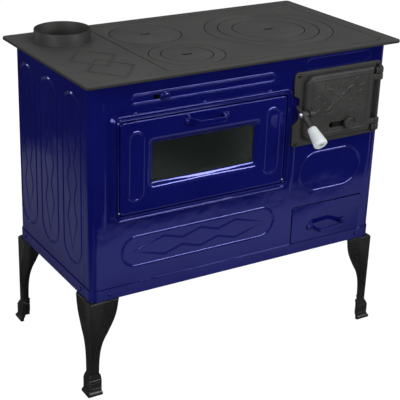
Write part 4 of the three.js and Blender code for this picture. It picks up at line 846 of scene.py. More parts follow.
hob_middle = ((hob_low.x + hob_high.x) / 2, (hob_low.y + hob_high.y) / 2)
hob_size = (hob_high.x - hob_low.x, hob_high.y - hob_low.y)
hob_mouth_size = [side + 2 * hob_gap for side in hob_size]
table_rim = round_oblong(*table_middle, *table_size, plate_corner)
hob_mouth = round_oblong(*hob_middle, *hob_mouth_size, plate_corner)
flue_hole = circle(collar_x, collar_y, collar_radius, 48)
table = laid(plate([table_rim, hob_mouth, flue_hole], plate_thickness, table_edge, 3), hob_low.z)
relief_x = table_low.x + 0.1118
relief_middle = table_low.y + 0.149
relief_pitch = 0.090
relief_half_width = 0.060
relief_half_depth = 0.0775
relief_width = 0.006
relief_rise = 0.0022
reach_x = relief_half_width - relief_width / 2
reach_y = relief_half_depth - relief_width / 2
relief = []
for side in (-1, 1):
    y = relief_middle + side * relief_pitch / 2
    path = [
        (relief_x - reach_x, y, hob_surface), (relief_x, y - reach_y, hob_surface),
        (relief_x + reach_x, y, hob_surface), (relief_x, y + reach_y, hob_surface),
    ]
    relief.append(ridge(path, straight_up, relief_width, relief_rise))
make_piece("cast_table", joined(table, *relief), cast_iron, "stove_body", ["top_plate"])


# Hob plate: an iron casting that lies flush in the table on a ledge. It has a round hole for
# each set of rings, with a ledge cast below it that carries the outermost one.
ring_gap = 0.0010
ledge_reach = 0.006
ledge_top = -0.004
ledge_bottom = -0.008
hob_edge = 0.0012
hob_steps = 72


def ring_place(node):
    """The middle of a round part seen from above, and its radius."""
    low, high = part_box(node)
    return (low.x + high.x) / 2, (low.y + high.y) / 2, (high.x - low.x) / 2


def hole_radius(node):
    """The hole that takes the named lid or ring."""
    return ring_place(node)[2] + ring_gap


def round_casting(x, y, base, section, steps):
    """A ring from its section of radii and heights above its base."""
    rings = [[(u, v, base + h) for u, v in circle(x, y, radius, steps)] for radius, h in section]
    return loft(rings, wrapped=True)


ring_holes = []
ledges = []
for node in ["rear_lid", "front_ring", "big_outer_ring"]:
    x, y, radius = ring_place(node)
    ring_holes.append(circle(x, y, hole_radius(node), hob_steps))
    ledge_section = [
        (radius - ledge_reach, ledge_bottom), (radius + ledge_reach, ledge_bottom),
        (radius + ledge_reach, ledge_top), (radius - ledge_reach, ledge_top),
    ]
    ledges.append(round_casting(x, y, hob_surface, ledge_section, hob_steps))
hob_thickness = plate_thickness / 2
hob_rim = round_oblong(*hob_middle, *hob_size, plate_corner)
hob_plate = laid(plate([hob_rim, *ring_holes], hob_thickness, hob_edge), hob_surface - hob_thickness)
make_piece("hob_casting", joined(hob_plate, *ledges), cast_iron, "stove_body", ["hob_plate"])


# Rings and lids: iron castings, turned and ground on top, each hanging by a step on the ledge of
# the one outside it. The lids have a slot for the lifter.
ring_iron, shader, wire = fresh("ring_iron", {"IOR": 1.4})
dress(
    wire, shader,
    [(0.046, 0.0452, 0.0448), (0.068, 0.0665, 0.065)],
    noise(wire, 9.0, 5.0, 0.6),
    noise(wire, 45.0, 3.0) * 0.18 + 0.34,
    [(noise(wire, 420.0, 2.0), 0.0003)],
    # Painted shade: near black on the rings' sides and below the shade level, for the gaps between rings and
    # the lid slots.
    (0.006, 0.006, 0.006), painted_shade_level,
)
ring_edge = 0.0016
ring_lap = 0.0068
ring_steps = 96
slot_length = 0.026
slot_width = 0.011
slot_depth = 0.005


def ring_shape(node, hole):
    """A ring, or a lid where it has no hole, with its step below and its round edges above."""
    low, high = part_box(node)
    x, y, radius = ring_place(node)
    bottom, top = low.z, high.z - low.z
    step = radius - ring_lap
    if hole:
        edge = arc(radius - ring_edge, top - ring_edge, ring_edge, 0, 90, 4)
        inner = arc(hole + ring_edge, top - ring_edge, ring_edge, 90, 180, 4)
        lip = hole - ring_lap
        section = [
            (lip, 0), (step, 0), (step, top / 2), (radius, top / 2), *edge, *inner,
            (hole, top / 2), (lip, top / 2),
        ]
        return round_casting(x, y, bottom, section, ring_steps)
    profile = [(step, 0), (step, top / 2), (radius, top / 2), (radius, top - slot_depth)]
    lower = turned(profile, (x, y, bottom), straight_up, ring_steps)
    slot_rim = round_oblong(x, y, slot_length, slot_width, slot_width / 2 - sliver)
    disc = circle(x, y, radius, ring_steps)
    upper = laid(plate([disc, slot_rim], slot_depth, ring_edge), bottom + top - slot_depth)
    return joined(lower, upper)


for node, inside in [
    ("rear_lid", None), ("front_ring", "front_lid"), ("front_lid", None),
    ("big_outer_ring", "big_middle_ring"), ("big_middle_ring", "big_lid"), ("big_lid", None),
]:
    shape = ring_shape(node, hole_radius(inside) if inside else 0)
    make_piece(f"{node}_casting", shape, ring_iron, node, [node])


# Flue collar: a thin cast iron ring that takes the stove pipe. It stands in the flue hole of the
# table on a small flange.
collar_wall = 0.0033
collar_height = collar_high.z - hob_surface
collar_sink = 0.007
neck = collar_radius - 0.001
bore = collar_radius - collar_wall
lip = 0.0012
collar_section = [
    (bore, -collar_sink), (neck, -collar_sink), (neck, 0.0002),
    (collar_radius + 0.0016, 0.0002), (collar_radius + 0.0008, 0.0006),
    (collar_radius + 0.0002, 0.0014), (collar_radius, 0.0025), (collar_radius, collar_height - lip),
    (collar_radius - lip / 3, collar_height - lip / 3), (collar_radius - lip, collar_height),
    (bore + lip / 2, collar_height), (bore, collar_height - lip),
]
collar_iron, shader, wire = fresh("collar_iron", {"IOR": 1.35})
dress(
    wire, shader,
    [(0.024, 0.0235, 0.023), (0.034, 0.033, 0.032)],
    noise(wire, 14.0, 5.0, 0.6),
    noise(wire, 50.0, 3.0) * 0.2 + 0.42,
    [(noise(wire, 300.0, 2.0), 0.0004)],
)
collar = round_casting(collar_x, collar_y, hob_surface, collar_section, ring_steps)
make_piece("flue_collar_casting", collar, collar_iron, "stove_body", ["flue_collar"])


# Oven door surround: a pressed and enamelled frame with a round double lip, clipped round the
# oven's mouth. Its inner wall runs back into the stove, to the flange of the oven box.
surround_low, surround_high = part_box("oven_door_surround")
surround_size = (surround_high.x - surround_low.x, surround_high.z - surround_low.z)
surround_z = (surround_low.z + surround_high.z) / 2
door_size = (door_high.x - door_low.x, door_high.z - door_low.z)
oven_face = door_low.y
toe = body_front - 0.0004
proud = toe - oven_face
surround_corner = 0.022
surround_crest = 0.0105
surround_levels = [
    (0, 0), (0.0006, 0.0012), (0.0022, 0.0026), (0.0040, 0.0054), (0.0052, 0.0084),
    (0.0064, 0.0100), (0.0076, 0.0104), (0.0088, 0.0098), (0.0099, 0.0078), (0.0110, 0.0068),
    (0.0136, 0.0068), (0.0147, 0.0078), (0.0156, 0.0098), (0.0166, surround_crest),
    (0.0176, 0.0102), (0.0184, 0.0090), (0.0188, 0.0070), (0.0188, -0.020), (0.0172, -0.020),
    (0.0172, 0.0052), (0.0110, 0.0052), (0.0065, 0.0045), (0.0030, 0.0005),
]
rings = []
for inset, rise in surround_levels:
    width, height = surround_size[0] - 2 * inset, surround_size[1] - 2 * inset
    corner = max(surround_corner - inset * 0.75, 0.002)
    outline = round_oblong(oven_x, surround_z, width, height, corner, 8)
    rings.append(on_front(outline, toe - rise * proud / surround_crest))
clip_shares = (-0.415, -0.013, 0.39)
clip_pitch = 0.004
clip_seat = toe - proud * 0.78
clip_level = surround_size[1] / 2 - 0.006
clip_widths = [0.001, 0.007, 0.0075, 0.007, 0.001]
clip_rises = [0, 0.0018, 0.0022, 0.0018, 0]
clips = []
for share in clip_shares:
    for facing in (-1, 1):
        u, v = oven_x + share * door_size[0], surround_z + facing * clip_level
        path = [(u + step * clip_pitch, clip_seat, v) for step in (-1.3, -1, 0, 1, 1.3)]
        clips.append(ridge(path, forward, clip_widths, clip_rises, closed=False))
make_piece(
    "surround_pressing", joined(loft(rings, wrapped=True), *clips), enamel, "stove_body",
    ["oven_door_surround"],
)


# Oven door: an enamelled steel pan with rolled edges and a deep bevel round its window. The lower
# edge of the bevel bows down a little, and an upright track is pressed on each side of it.
window_low, window_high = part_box("oven_door_glass")
glass_lap = 0.008
window_x = (window_low.x + window_high.x) / 2
window_z = (window_low.z + window_high.z) / 2
window_width = window_high.x - window_low.x - 2 * glass_lap
window_height = window_high.z - window_low.z - 2 * glass_lap
bevel_side = 0.013
bevel_foot = 0.017
bevel_bow = 0.007
bevel_run = 0.72
bevel_curve = 1.75
bevel_back = window_low.y - 0.0003
door_depth = 0.014
door_thickness = 0.0032


def door_ring(inset, back, radius):
    """A level of the door's rim, drawn in from its outline and back from its face."""
    width, height = door_size[0] - 2 * inset, door_size[1] - 2 * inset
    outline = round_oblong(oven_x, (door_low.z + door_high.z) / 2, width, height, radius, 6, 12)
    return on_front(outline, oven_face + back)


def bevel_ring(grow, y, radius):
    """A level of the window's bevel, from 0 at the glass to 1 on the door's face."""
    side, foot = bevel_side * grow, bevel_foot * grow
    middle = window_z + (side - foot) / 2
    width, height = window_width + 2 * side, window_height + side + foot
    outline = round_oblong(window_x, middle, width, height, radius, 6, 12)
    half_width = window_width / 2 + side
    bowed = []
    for u, v in outline:
        sag = bevel_bow * grow ** 2 * max(0, 1 - ((u - window_x) / half_width) ** 2)
        bowed.append((u, v - sag if v < window_z else v))
    return on_front(bowed, y)


def bevel_slope(grow):
    """How far back the bevel lies: it starts gently and gets steeper towards the glass."""
    outer, inner = oven_face + 0.0008, bevel_back - 0.0020
    return outer + (inner - outer) * ((1 - grow) / bevel_run) ** bevel_curve


rim_levels = [
    (0.0016, door_depth, 0.006), (0, door_depth, 0.008), (0, door_thickness, 0.008),
    (0.0004, 0.0016, 0.0085), (0.0014, 0.0005, 0.009), (0.0032, 0, 0.010), (0.0046, 0, 0.010),
]
brow_levels = [(1.32, 0, 0.017), (1.22, 0, 0.016), (1.10, 0.0003, 0.015)]
slope_levels = (1.0, 0.94, 0.86, 0.76, 0.64, 0.52, 0.40, 0.28)
seat_levels = [(0.14, -0.0010, 0.004), (0.06, -0.0002, 0.003), (0, 0, 0.002), (0.08, 0.0001, 0.004)]
rings = [door_ring(*level) for level in rim_levels]
rings += [bevel_ring(grow, oven_face + back, radius) for grow, back, radius in brow_levels]
rings += [bevel_ring(grow, bevel_slope(grow), 0.002 + 0.011 * grow) for grow in slope_levels]
rings += [bevel_ring(grow, bevel_back + back, radius) for grow, back, radius in seat_levels]
rings.append(bevel_ring(1.0, oven_face + door_thickness, 0.014))
rings.append(door_ring(0.0016, door_thickness, 0.006))
door_track_inset = 0.0394
door_track_width = 0.0365
door_track_height = 0.163
door_tracks = []
for side in (-1, 1):
    u = oven_x + side * (door_size[0] / 2 - door_track_inset)
    path = track_path(u, window_z, door_track_width, door_track_height, grow=0)
    door_tracks.append(ridge(on_front(path, oven_face), forward, 0.008, 0.0013))
make_piece(
    "oven_door_pressing", joined(loft(rings, wrapped=True), *door_tracks), enamel, "oven_door",
    ["oven_door_panel"],
)


# Strap handles: flat steel bent in a shallow bridge and enamelled. Each is riveted through its
# feet, one to the oven door and one to the front of the ash drawer.
strap_span = 0.103
strap_thickness = 0.003
strap_foot = 0.014
strap_slope = 0.009
strap_edge = 0.0009
rivet_radius = 0.0052
rivet_height = 0.0028
rivet_offset = 0.0535


def strap_outline(u, reach):
    """The strap seen from above, out from the face at 0."""
    outer_foot, heel = strap_span / 2 + strap_foot / 2, strap_span / 2 - strap_foot / 2
    bar, strap = heel - strap_slope, strap_thickness
    outer = [(outer_foot, 0), (outer_foot, strap), (heel + 0.001, strap), (heel - 0.002, strap + 0.002)]
    outer += [(bar + 0.0025, reach - 0.003), (bar + 0.001, reach - 0.001), (bar - 0.002, reach)]
    inner = [(bar - strap, reach - strap), (bar - strap + 0.001, reach - strap - 0.0015), (heel - strap, 0)]
    left = [(-a, b) for a, b in reversed(outer)]
    left_inner = [(-a, b) for a, b in inner]
    return [(u + a, b) for a, b in outer + left + left_inner[::-1] + inner]


def strap_handle(node):
    """A strap that fills the frame box of a handle, with its two rivets."""
    low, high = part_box(node)
    middle = (low.x + high.x) / 2
    flat = plate([strap_outline(middle, high.y - low.y)[::-1]], high.z - low.z, strap_edge)
    bar = moved(flat, lambda u, v, w: (u, high.y - v, low.z + w))
    rivets = []
    for side in (-1, 1):
        foot = (middle + side * rivet_offset, high.y - strap_thickness, (low.z + high.z) / 2)
        profile = [(rivet_radius, 0), *dome(rivet_radius, rivet_height)]
        rivets.append(turned(profile, foot, forward, 20))
    return joined(bar, *rivets)


make_piece(
    "oven_handle_strap", strap_handle("oven_door_handle"), enamel, "oven_door",
    ["oven_door_handle"],
)
make_piece(
    "drawer_handle_strap", strap_handle("ash_drawer_handle"), enamel, "ash_drawer",
    ["ash_drawer_handle"],
)


# Ash drawer front: an enamelled steel plate with softened edges, twice as thick as the body's
# sheet. It is fixed to the drawer's tray, and its face lies just behind the plinth's line.
def stood(shape, back):
    """A flat casting stood upright, with its rear side at a depth and its face to the front."""
    return moved(shape, lambda u, v, w: (u, back - w, v))


drawer_middle = ((drawer_low.x + drawer_high.x) / 2, (drawer_low.z + drawer_high.z) / 2)
drawer_size = (drawer_high.x - drawer_low.x, drawer_high.z - drawer_low.z)
drawer_corner = 0.002
drawer_edge = 0.0008
drawer_outline = round_oblong(*drawer_middle, *drawer_size, drawer_corner)
drawer_plate = stood(plate([drawer_outline], drawer_high.y - drawer_low.y, drawer_edge), drawer_high.y)
make_piece("drawer_front_plate", drawer_plate, enamel, "ash_drawer", ["ash_drawer_front"])


# Damper knob: a turned and enamelled button on a short stem, which goes through the slot to the
# flap of the damper behind the front.
knob_radius = (knob_high.x - knob_low.x) / 2
knob_face = knob_high.y - knob_low.y
stem_radius = 0.004
button_crown = [(1, 0.009), (1, 0.0065), (0.97, 0.0052), (0.86, 0.0036), (0.66, 0.0018), (0.36, 0.0005)]
knob_profile = [
    (stem_radius, 0), (stem_radius, knob_face - button_crown[0][1]),
    *[(knob_radius * share, knob_face - back) for share, back in button_crown],
    (0.0001, knob_face),
]
knob = turned(knob_profile, (knob_x, knob_high.y, knob_z), forward, 40)
make_piece("damper_button", knob, enamel, "damper", ["damper_knob"])


# Firebox frame: a cast iron plate screwed over the firebox mouth, with a notch for the latch.
# Two lugs on its right carry the hinge rod.
door_iron, shader, wire = fresh("door_iron", {"IOR": 1.45})
dress(
    wire, shader,
    [(0.018, 0.0176, 0.0170), (0.027, 0.0264, 0.0256)],
    noise(wire, 22.0, 5.0, 0.6),
    noise(wire, 70.0, 3.0) * 0.2 + 0.42,
    [(noise(wire, 300.0, 2.0), 0.0006), (noise(wire, 60.0, 3.0), 0.0003)],
)
rod_low, rod_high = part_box("firebox_hinge_rod")
rod_x, rod_y = (rod_low.x + rod_high.x) / 2, (rod_low.y + rod_high.y) / 2
fire_left = mouth_low.x
frame_right = rod_x + 0.010
frame_back = mouth_high.y
frame_thickness = 0.006
frame_edge = 0.0014
frame_face = frame_back - frame_thickness
frame_height = mouth_high.z - mouth_low.z
notch_low = mouth_low.z + frame_height * 0.306
notch_high = notch_low + frame_height * 0.392
notch_right = fire_left + 0.017
bend = 0.010
frame_outline = [
    *arc(frame_right - bend, mouth_low.z + bend, bend, 270, 360),
    *arc(frame_right - bend, mouth_high.z - bend, bend, 0, 90),
    *arc(fire_left + bend, mouth_high.z - bend, bend, 90, 180),
    (fire_left, notch_high), (notch_right - 0.002, notch_high - 0.0078),
    (notch_right, notch_high - 0.011), (notch_right, notch_low + 0.011),
    (notch_right - 0.002, notch_low + 0.0078), (fire_left, notch_low),
    *arc(fire_left + bend, mouth_low.z + bend, bend, 180, 270),
]
fire_mouth_size = (0.168, 0.122)
fire_mouth_z = mouth_low.z + frame_height * 0.516
fire_mouth = round_oblong(fire_x, fire_mouth_z, *fire_mouth_size, 0.004)
frame_plate = stood(plate([frame_outline, fire_mouth], frame_thickness, frame_edge), frame_back)
lug_radius = 0.008
lug_height = 0.015
lug_edge = 0.0015
web_inset = 0.0003


def lug(bottom, left, back):
    """A hinge lug: a round eye on a web that reaches to its plate."""
    profile = [
        (lug_radius - lug_edge, 0), (lug_radius, lug_edge), (lug_radius, lug_height - lug_edge),
        (lug_radius - lug_edge, lug_height),
    ]
    eye = turned(profile, (rod_x, rod_y, bottom), straight_up, 28)
    front = rod_y - lug_radius * 0.45
    web = [(left, front), (rod_x, front), (rod_x, back), (left, back)]
    return joined(eye, laid(plate([web], lug_height - 2 * web_inset, lug_edge), bottom + web_inset))


lug_low = rod_low.z + 0.003
lug_high = rod_high.z - 0.0033 - lug_height
frame_lugs = [lug(bottom, rod_x - 0.014, frame_face + 0.001) for bottom in (lug_low, lug_high)]
make_piece(
    "fire_frame_casting", joined(frame_plate, *frame_lugs), door_iron, "stove_body",
    ["firebox_frame"],
)


# Frame screws: steel with round heads, browned by the fire. One near each corner of the frame
# holds it to the enamelled front.
browned_steel, shader, wire = fresh("browned_steel", {"Metallic": 0.8})
dress(
    wire, shader,
    [(0.022, 0.021, 0.020), (0.040, 0.038, 0.036)],
    noise(wire, 200.0, 3.0),
    noise(wire, 300.0) * 0.12 + 0.18,
    [(noise(wire, 500.0, 3.0), 0.0001)],
)
frame_head_share = 0.6
frame_head_height = 0.0034
for node in frame["nodes"]:
    if not node.startswith("firebox_frame_screw"):
        continue
    low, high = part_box(node)
    place = ((low.x + high.x) / 2, low.y + screw_seat, (low.z + high.z) / 2)
    head = dome((high.z - low.z) * frame_head_share, frame_head_height)
    shape = turned([(screw_shank, -screw_length), (screw_shank, 0), *head], place, forward, 18)
    make_piece(f"{node}_head", shape, browned_steel, "stove_body", [node])


# Hinge rod of the firebox door: an iron rod dropped through the lugs of frame and door from
# above, and held there by its flat head.
rod_radius = 0.004
rod_head = 0.006
rod_height = rod_high.z - rod_low.z
rod_profile = [
    (0.0035, 0), (rod_radius, 0.0006), (rod_radius, rod_height - 0.003),
    (rod_head, rod_height - 0.003), (rod_head, rod_height - 0.001), (0.005, rod_height),
]
hinge_rod = turned(rod_profile, (rod_x, rod_y, rod_low.z), straight_up, 24)
make_piece("fire_hinge_rod", hinge_rod, door_iron, "stove_body", ["firebox_hinge_rod"])


# Firebox door: a cast iron dish, round on the latch side, with a raised border round a relief of
# leaves and scrolls. It has an air slot low down, two lugs on the hinge rod and a boss for the
# latch pin.
fire_door_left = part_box("firebox_door")[0].x
fire_door_right = fire_door_left + (frame_right - fire_left) * 0.778
fire_door_back = frame_face - 0.0003
fire_door_face = fire_door_back - 0.014
fire_door_low = mouth_low.z + 0.014
fire_door_high = mouth_high.z - 0.009
air_low, air_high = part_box("air_slider")
air_z = (air_low.z + air_high.z) / 2
air_slot_x = fire_x + 0.0095
air_slot_size = (0.078, 0.014)
air_slot = track_path(air_slot_x, air_z, *air_slot_size, 6, 0)


def fire_door_outline(inset):
    """The door's outline, drawn in by some way: square by the hinge, round on the latch side."""
    left, right = fire_door_left + inset, fire_door_right - inset
    low, high = fire_door_low + inset, fire_door_high - inset
    round_corner, square_corner = 0.024 - inset * 0.8, 0.004
    return [
        *arc(right - square_corner, low + square_corner, square_corner, 270, 360, 4),
        *arc(right - square_corner, high - square_corner, square_corner, 0, 90, 4),
        *arc(left + round_corner, high - round_corner, round_corner, 90, 180, 10),
        *arc(left + round_corner, low + round_corner, round_corner, 180, 270, 10),
    ]


face_inset = 0.0055
face_thickness = 0.006
skirt = [
    (0.008, fire_door_back), (0, fire_door_back), (0, fire_door_face + 0.0065),
    (0.0006, fire_door_face + 0.004), (0.0022, fire_door_face + 0.0016),
    (0.0040, fire_door_face + 0.0004), (face_inset, fire_door_face),
    (face_inset + 0.002, fire_door_face + 0.002), (0.008, fire_door_face + 0.005),
]
dish = loft([on_front(fire_door_outline(inset), y) for inset, y in skirt], wrapped=True)
face_plate = stood(
    plate([fire_door_outline(face_inset - 0.0002), air_slot], face_thickness, 0.0006),
    fire_door_face + face_thickness,
)
border_inset = 0.0135
border_left, border_right = fire_door_left + border_inset, fire_door_right - 0.0175
border_low, border_high = fire_door_low + border_inset, fire_door_high - border_inset
border_path = round_oblong(
    (border_left + border_right) / 2, (border_low + border_high) / 2,
    border_right - border_left, border_high - border_low, 0.002, 2,
)
border = ridge(on_front(border_path, fire_door_face), forward, 0.0042, 0.0018)
relief_share = 0.72
stem_rise = 0.0014
stem_steps = 22
leaf_steps = 9


def scroll(u, v, size, start, turns, mirrored, width=0.0042):
    """A tapering spiral stem that starts outside and curls in."""
    path, widths, rises = [], [], []
    for i in range(stem_steps + 1):
        share = i / stem_steps
        angle = math.radians(start) + mirrored * turns * 2 * math.pi * share
        reach = size * (1 - share) ** 0.8 + size * 0.08
        path.append((u + reach * math.cos(angle), fire_door_face, v + reach * math.sin(angle)))
        swell = math.sin(math.pi * min(1, share * 1.6 + 0.12) / 1.25) if share < 0.97 else 0.05
        within = 0 < i < stem_steps
        widths.append(max(width * max(swell, 0.25), 0.0004) if within else 0.0003)
        rises.append(stem_rise * relief_share if within else 0)
    return ridge(path, forward, widths, rises, closed=False)


def leaf(u, v, angle, length, width, rise, bow):
    """A pointed leaf with a soft crown, bent to one side by a share of its length."""
    turn = math.radians(angle)
    path, widths, rises = [], [], []
    for i in range(leaf_steps + 1):
        share = i / leaf_steps
        side = bow * length * math.sin(math.pi * share)
        along = length * share
        path.append((
            u + along * math.cos(turn) - side * math.sin(turn), fire_door_face,
            v + along * math.sin(turn) + side * math.cos(turn),
        ))
        swell = math.sin(math.pi * share ** 0.8)
        widths.append(max(width * swell, 0.0003))
        rises.append(rise * relief_share * max(swell, 0))
    return ridge(path, forward, widths, rises, closed=False)


relief_u = (border_left + border_right) / 2
relief_v = fire_door_low + (fire_door_high - fire_door_low) * 0.60
relief = [leaf(relief_u, relief_v, 45 + 90 * i, 0.021, 0.012, 0.0021, 0) for i in range(4)]
relief += [leaf(relief_u, relief_v, 90 * i, 0.014, 0.008, 0.0018, 0) for i in range(4)]
bud = 0.0045
relief.append(turned([(bud, 0), *dome(bud, 0.0024)], (relief_u, fire_door_face, relief_v), forward, 20))
# Each leaf: out from the flower and up, lean, length above and below, width, rise and bow.
leaves = [
    (0.018, 0.004, 52, (0.036, 0.036), 0.010, 0.0020, 0.25),
    (0.046, 0.031, 25, (0.019, 0.019), 0.008, 0.0017, 0.2),
    (0.058, 0.018, 62, (0.019, 0.019), 0.007, 0.0017, 0.2),
    (0.006, 0.019, 15, (0.024, 0.022), 0.007, 0.0017, 0.15),
]
for side in (-1, 1):
    start = 90 - 90 * side
    for up in (1, -1):
        u, v = relief_u + side * 0.036, relief_v + up * 0.017
        relief.append(scroll(u, v, 0.019, start + 150 * side * up, 1.15, -side * up))
    relief.append(scroll(relief_u + side * 0.063, relief_v + 0.001, 0.012, start, 1.0, side, 0.0036))
    for out, rise, lean, lengths, width, height, bow in leaves:
        for up, length in zip((1, -1), lengths):
            u, v = relief_u + side * out, relief_v + up * rise
            angle = 180 - 90 * up - lean * side * up
            relief.append(leaf(u, v, angle, length, width, height, bow * side * up))
pin_low, pin_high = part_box("latch_pin")
pin_y, pin_z = (pin_low.y + pin_high.y) / 2, (pin_low.z + pin_high.z) / 2
boss_radius = 0.008
boss_right = pin_high.x - 0.0025
boss_left = boss_right - 0.011
boss_profile = [(0.0065, 0), (boss_radius, 0.0015), (boss_radius, 0.0095), (0.0065, 0.011)]
boss = turned(boss_profile, (boss_left, pin_y, pin_z), (1, 0, 0), 28)
boss_low, boss_high = pin_z - boss_radius, pin_z + boss_radius
boss_outline = [
    (boss_left, boss_low), (boss_right, boss_low), (boss_right, boss_high), (boss_left, boss_high),
]
boss_seat = fire_door_face + 0.001
boss_foot = stood(plate([boss_outline], boss_seat - pin_y, 0.001), boss_seat)
lug_gap = 0.001
door_lugs = [
    lug(bottom, fire_door_right - 0.003, rod_y + 0.004)
    for bottom in (lug_low + lug_height + lug_gap, lug_high - lug_height - lug_gap)
]
fire_door = joined(dish, face_plate, border, boss, boss_foot, *door_lugs, *relief)
make_piece("fire_door_casting", fire_door, door_iron, "firebox_door", ["firebox_door"])


# Air slider: an iron plate that slides behind the door's slot. It is moved by a round turned knob
# in front of the door, whose shank goes through the slot.
slider_thickness = 0.003
slider_back = fire_door_face + 0.0063 + slider_thickness
slider_x = (air_low.x + air_high.x) / 2
slider_outline = round_oblong(slider_x, air_z, air_high.x - air_low.x, air_high.z - air_low.z, 0.003)
slider_plate = stood(plate([slider_outline], slider_thickness, 0.0005), slider_back)
air_shank = 0.005
air_radius = 0.014
air_profile = [
    (air_shank, -0.007), (air_shank, 0), (0.0125, 0), (air_radius, 0.0012), (air_radius, 0.0055),
    (0.0132, 0.0078), (0.0110, 0.0088), (0.0095, 0.0088), (0.0080, 0.0074), (0.0045, 0.0072),
    (0.0001, 0.0078),
]
air_knob = turned(air_profile, (slider_x, fire_door_face - 0.0003, air_z), forward, 36)
# Partly soot and partly painted shade: the plate is near black, darker than the door's iron, so that the
# slot in front of it reads dark.
soot_and_slot_shade_iron, shader, wire = fresh("soot_and_slot_shade_iron", {"IOR": 1.3})
dress(
    wire, shader,
    [(0.004, 0.004, 0.004), (0.008, 0.008, 0.008)],
    noise(wire, 60.0, 4.0),
    noise(wire, 60.0) * 0.1 + 0.8,
    [(noise(wire, 300.0, 2.0), 0.0003)],
)
make_piece("air_slider_plate", slider_plate, soot_and_slot_shade_iron, "air_slider")
make_piece("air_slider_knob", air_knob, door_iron, "air_slider", ["air_slider"])


# Latch pin: a turned pin of bright steel with a flat head on its left end. It is pressed through
# the door's boss, and the latch turns on it.
bright_steel, shader, wire = fresh("bright_steel", {"Metallic": 1.0})
dress(
    wire, shader,
    [(0.72, 0.73, 0.74), (0.90, 0.91, 0.92)],
    noise(wire, 200.0, 3.0),
    noise(wire, 300.0) * 0.12 + 0.30,
    [(noise(wire, 500.0, 3.0), 0.0001)],
)
pin_length = pin_high.x - pin_low.x
pin_radius = 0.003
head_radius = 0.0070
head_angles = [i * math.pi / 8 for i in range(5)]
pin_profile = [
    *[(head_radius * math.sin(angle), 0.0025 - 0.0042 * math.cos(angle)) for angle in head_angles],
    (pin_radius, 0.0026), (pin_radius, pin_length - 0.0013),
    (0.0052, pin_length - 0.0012), (0.0050, pin_length), (0.0036, pin_length + 0.0016),
    (0.0001, pin_length + 0.0024),
]
latch_pin = turned(pin_profile, (pin_low.x, pin_y, pin_z), (1, 0, 0), 24)
make_piece("latch_pin_steel", latch_pin, bright_steel, "firebox_door", ["latch_pin"])


# Latch lever: a cast iron arm that turns on the pin. A nose behind its hub catches behind the
# frame's notch, and a spigot at its end carries the grip.
lever_tilt = math.radians(35.5)
hub_x = pin_low.x + 0.012
hub_length = 0.017
hub_radius = 0.010
hub_end = 0.0088
arm_length = 0.0405
arm_down = Vector((0, -math.cos(lever_tilt), -math.sin(lever_tilt)))
arm_up = Vector((0, -math.sin(lever_tilt), math.cos(lever_tilt)))
hub_middle = Vector((hub_x, pin_y, pin_z))


def lever_place(along, across, rise):
    """A point of the lever: along its arm towards the grip, across it and up from it."""
    return hub_middle + arm_down * along + Vector((across, 0, 0)) + arm_up * rise


def lever_bar(stations):
    """A bar of soft oblong sections along the lever: place, middle, width and height of each."""
    rings = []
    for along, middle, width, height in stations:
        section = round_oblong(middle, 0, width, height, min(width, height) * 0.3, 3)
        rings.append([lever_place(along, u, v) for u, v in section])
    return loft(rings)


hub_profile = [
    (hub_end, 0), (hub_radius, 0.0012), (hub_radius, hub_length - 0.0012), (hub_end, hub_length),
]
hub = turned(hub_profile, (hub_x - hub_length / 2, pin_y, pin_z), (1, 0, 0), 32)
arm = lever_bar([
    (0.004, 0, 0.015, 0.013), (0.012, 0, 0.0135, 0.010), (0.028, 0, 0.0125, 0.009),
    (arm_length, 0, 0.0125, 0.009),
])
nose_middle = -hub_length / 2 + 0.0040
nose = lever_bar([
    (0.0, nose_middle, 0.008, 0.010), (-0.012, nose_middle, 0.008, 0.0085),
    (-0.0250, nose_middle, 0.0075, 0.0072), (-0.0265, nose_middle, 0.005, 0.0048),
])
spigot_profile = [(0.0035, 0), (0.004, 0.001), (0.004, 0.042)]
spigot = turned(spigot_profile, lever_place(arm_length - 0.002, 0, 0), arm_down, 20)
lever = joined(hub, arm, nose, spigot)
make_piece("latch_lever_casting", lever, door_iron, "latch", ["latch_lever"])


# Latch grip: a hollow turned piece of white glazed ceramic, wider at its end. It is slipped over
# the spigot of the lever and cemented there.
ceramic, shader, wire = fresh("white_ceramic", {"IOR": 1.5})
dress(
    wire, shader,
    [(0.52, 0.56, 0.57), (0.60, 0.63, 0.64)],
    noise(wire, 30.0, 3.0),
    noise(wire, 50.0) * 0.06 + 0.10,
    [(noise(wire, 45.0), 0.0004)],
)
grip_length = 0.050
grip_bore = 0.0045
grip_profile = [
    (grip_bore, 0), (0.0095, 0), (0.0108, 0.0008), (0.0115, 0.003), (0.0128, 0.012), (0.0144, 0.024),
    (0.0160, 0.036), (0.0169, 0.0435), (0.0168, 0.0462), (0.0156, 0.0485), (0.0135, 0.0497),
    (0.0110, grip_length), (0.0075, grip_length), (0.0062, 0.0493), (0.0060, 0.0475),
    (0.0060, 0.0435), (grip_bore, 0.0435),
]
grip = turned(grip_profile, lever_place(arm_length + 0.0003, 0, 0), arm_down, 48)
make_piece("latch_grip_ceramic", grip, ceramic, "latch", ["latch_grip"])


# Oven glass: a dark pane of heat-proof glass. It lies behind the door's bevel and keeps its
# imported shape, so only its finish is made here.
oven_glass, shader, wire = fresh("oven_glass", {"IOR": 1.5})
dress(
    wire, shader,
    [(0.008, 0.011, 0.010), (0.013, 0.017, 0.016)],
    noise(wire, 8.0, 3.0),
    noise(wire, 20.0) * 0.03 + 0.03,
    [(noise(wire, 6.0), 0.0003)],
)
shader.inputs["Alpha"].default_value = 0.35


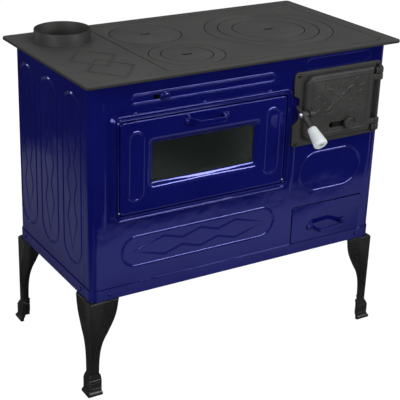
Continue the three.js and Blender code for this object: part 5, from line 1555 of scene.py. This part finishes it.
# Inner pieces: folded steel, blackened by heat, for the floor, the oven's shelf, the door's liner,
# the ash chute, the drawer's tray, the smoke divider and the damper's flap. They keep their
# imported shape, so only their finish is made here.
dark_steel, shader, wire = fresh("blackened_steel", {"IOR": 1.5})
dress(
    wire, shader,
    [(0.070, 0.078, 0.074), (0.150, 0.165, 0.155)],
    noise(wire, 14.0, 5.0, 0.6),
    noise(wire, 80.0, 3.0) * 0.2 + 0.36,
    [(noise(wire, 220.0, 3.0), 0.0002)],
)


# Oven box: folded steel with a grey-green enamel, paler than the other inner pieces. Near the mouth,
# behind the door, its colour turns near black: painted shade that shows in the gap round the door.
oven_grey, shader, wire = fresh("oven_grey_enamel", {"IOR": 1.5})
dress(
    wire, shader,
    [(0.46, 0.52, 0.50), (0.58, 0.64, 0.62)],
    noise(wire, 14.0, 5.0, 0.6),
    noise(wire, 60.0, 3.0) * 0.15 + 0.25,
    [(noise(wire, 120.0, 3.0), 0.0002)],
)
# Painted shade: near black at the mouth, fading to the pale enamel further in, for the shade in the gap
# round the door.
gap_shade = (0.01, 0.011, 0.011, 1)
gap_shade_start, gap_shade_end = body_front + 0.035, body_front + 0.06
pale = Wire(wire.tree, shader.inputs["Base Color"].links[0].from_socket)
beyond_gap_shade = own_place(wire).part("Y").faded(gap_shade_start, gap_shade_end, 0, 1, "LINEAR")
beyond_gap_shade.blended(gap_shade, pale).feed(shader.inputs["Base Color"])


# Firebricks: pressed blocks of pale fire clay, pitted and sooted, that line the firebox. They
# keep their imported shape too.
firebrick, shader, wire = fresh("firebrick", {"IOR": 1.4})
dress(
    wire, shader,
    [(0.20, 0.15, 0.10), (0.46, 0.36, 0.24)],
    noise(wire, 26.0, 6.0, 0.65),
    noise(wire, 60.0, 3.0) * 0.1 + 0.85,
    [(noise(wire, 160.0, 4.0, 0.7), 0.0022)],
)


# Kept pieces: the parts inside, at the back and underneath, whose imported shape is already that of
# the real piece. Each takes the finish of its slot, and the oven box its own.
finishes = {
    "enamel": enamel, "cast_iron": cast_iron, "door_iron": door_iron, "black_paint": black_paint,
    "dark_steel": dark_steel, "bright_steel": bright_steel, "ceramic": ceramic,
    "firebrick": firebrick, "oven_glass": oven_glass,
}
for subpart in frame["record"]["subparts"]:
    name = subpart["node"]
    finish = oven_grey if name == "oven_box" else finishes[subpart["material_slot"]]
    node = frame["nodes"][name]
    node.data.materials.clear()
    node.data.materials.append(finish)
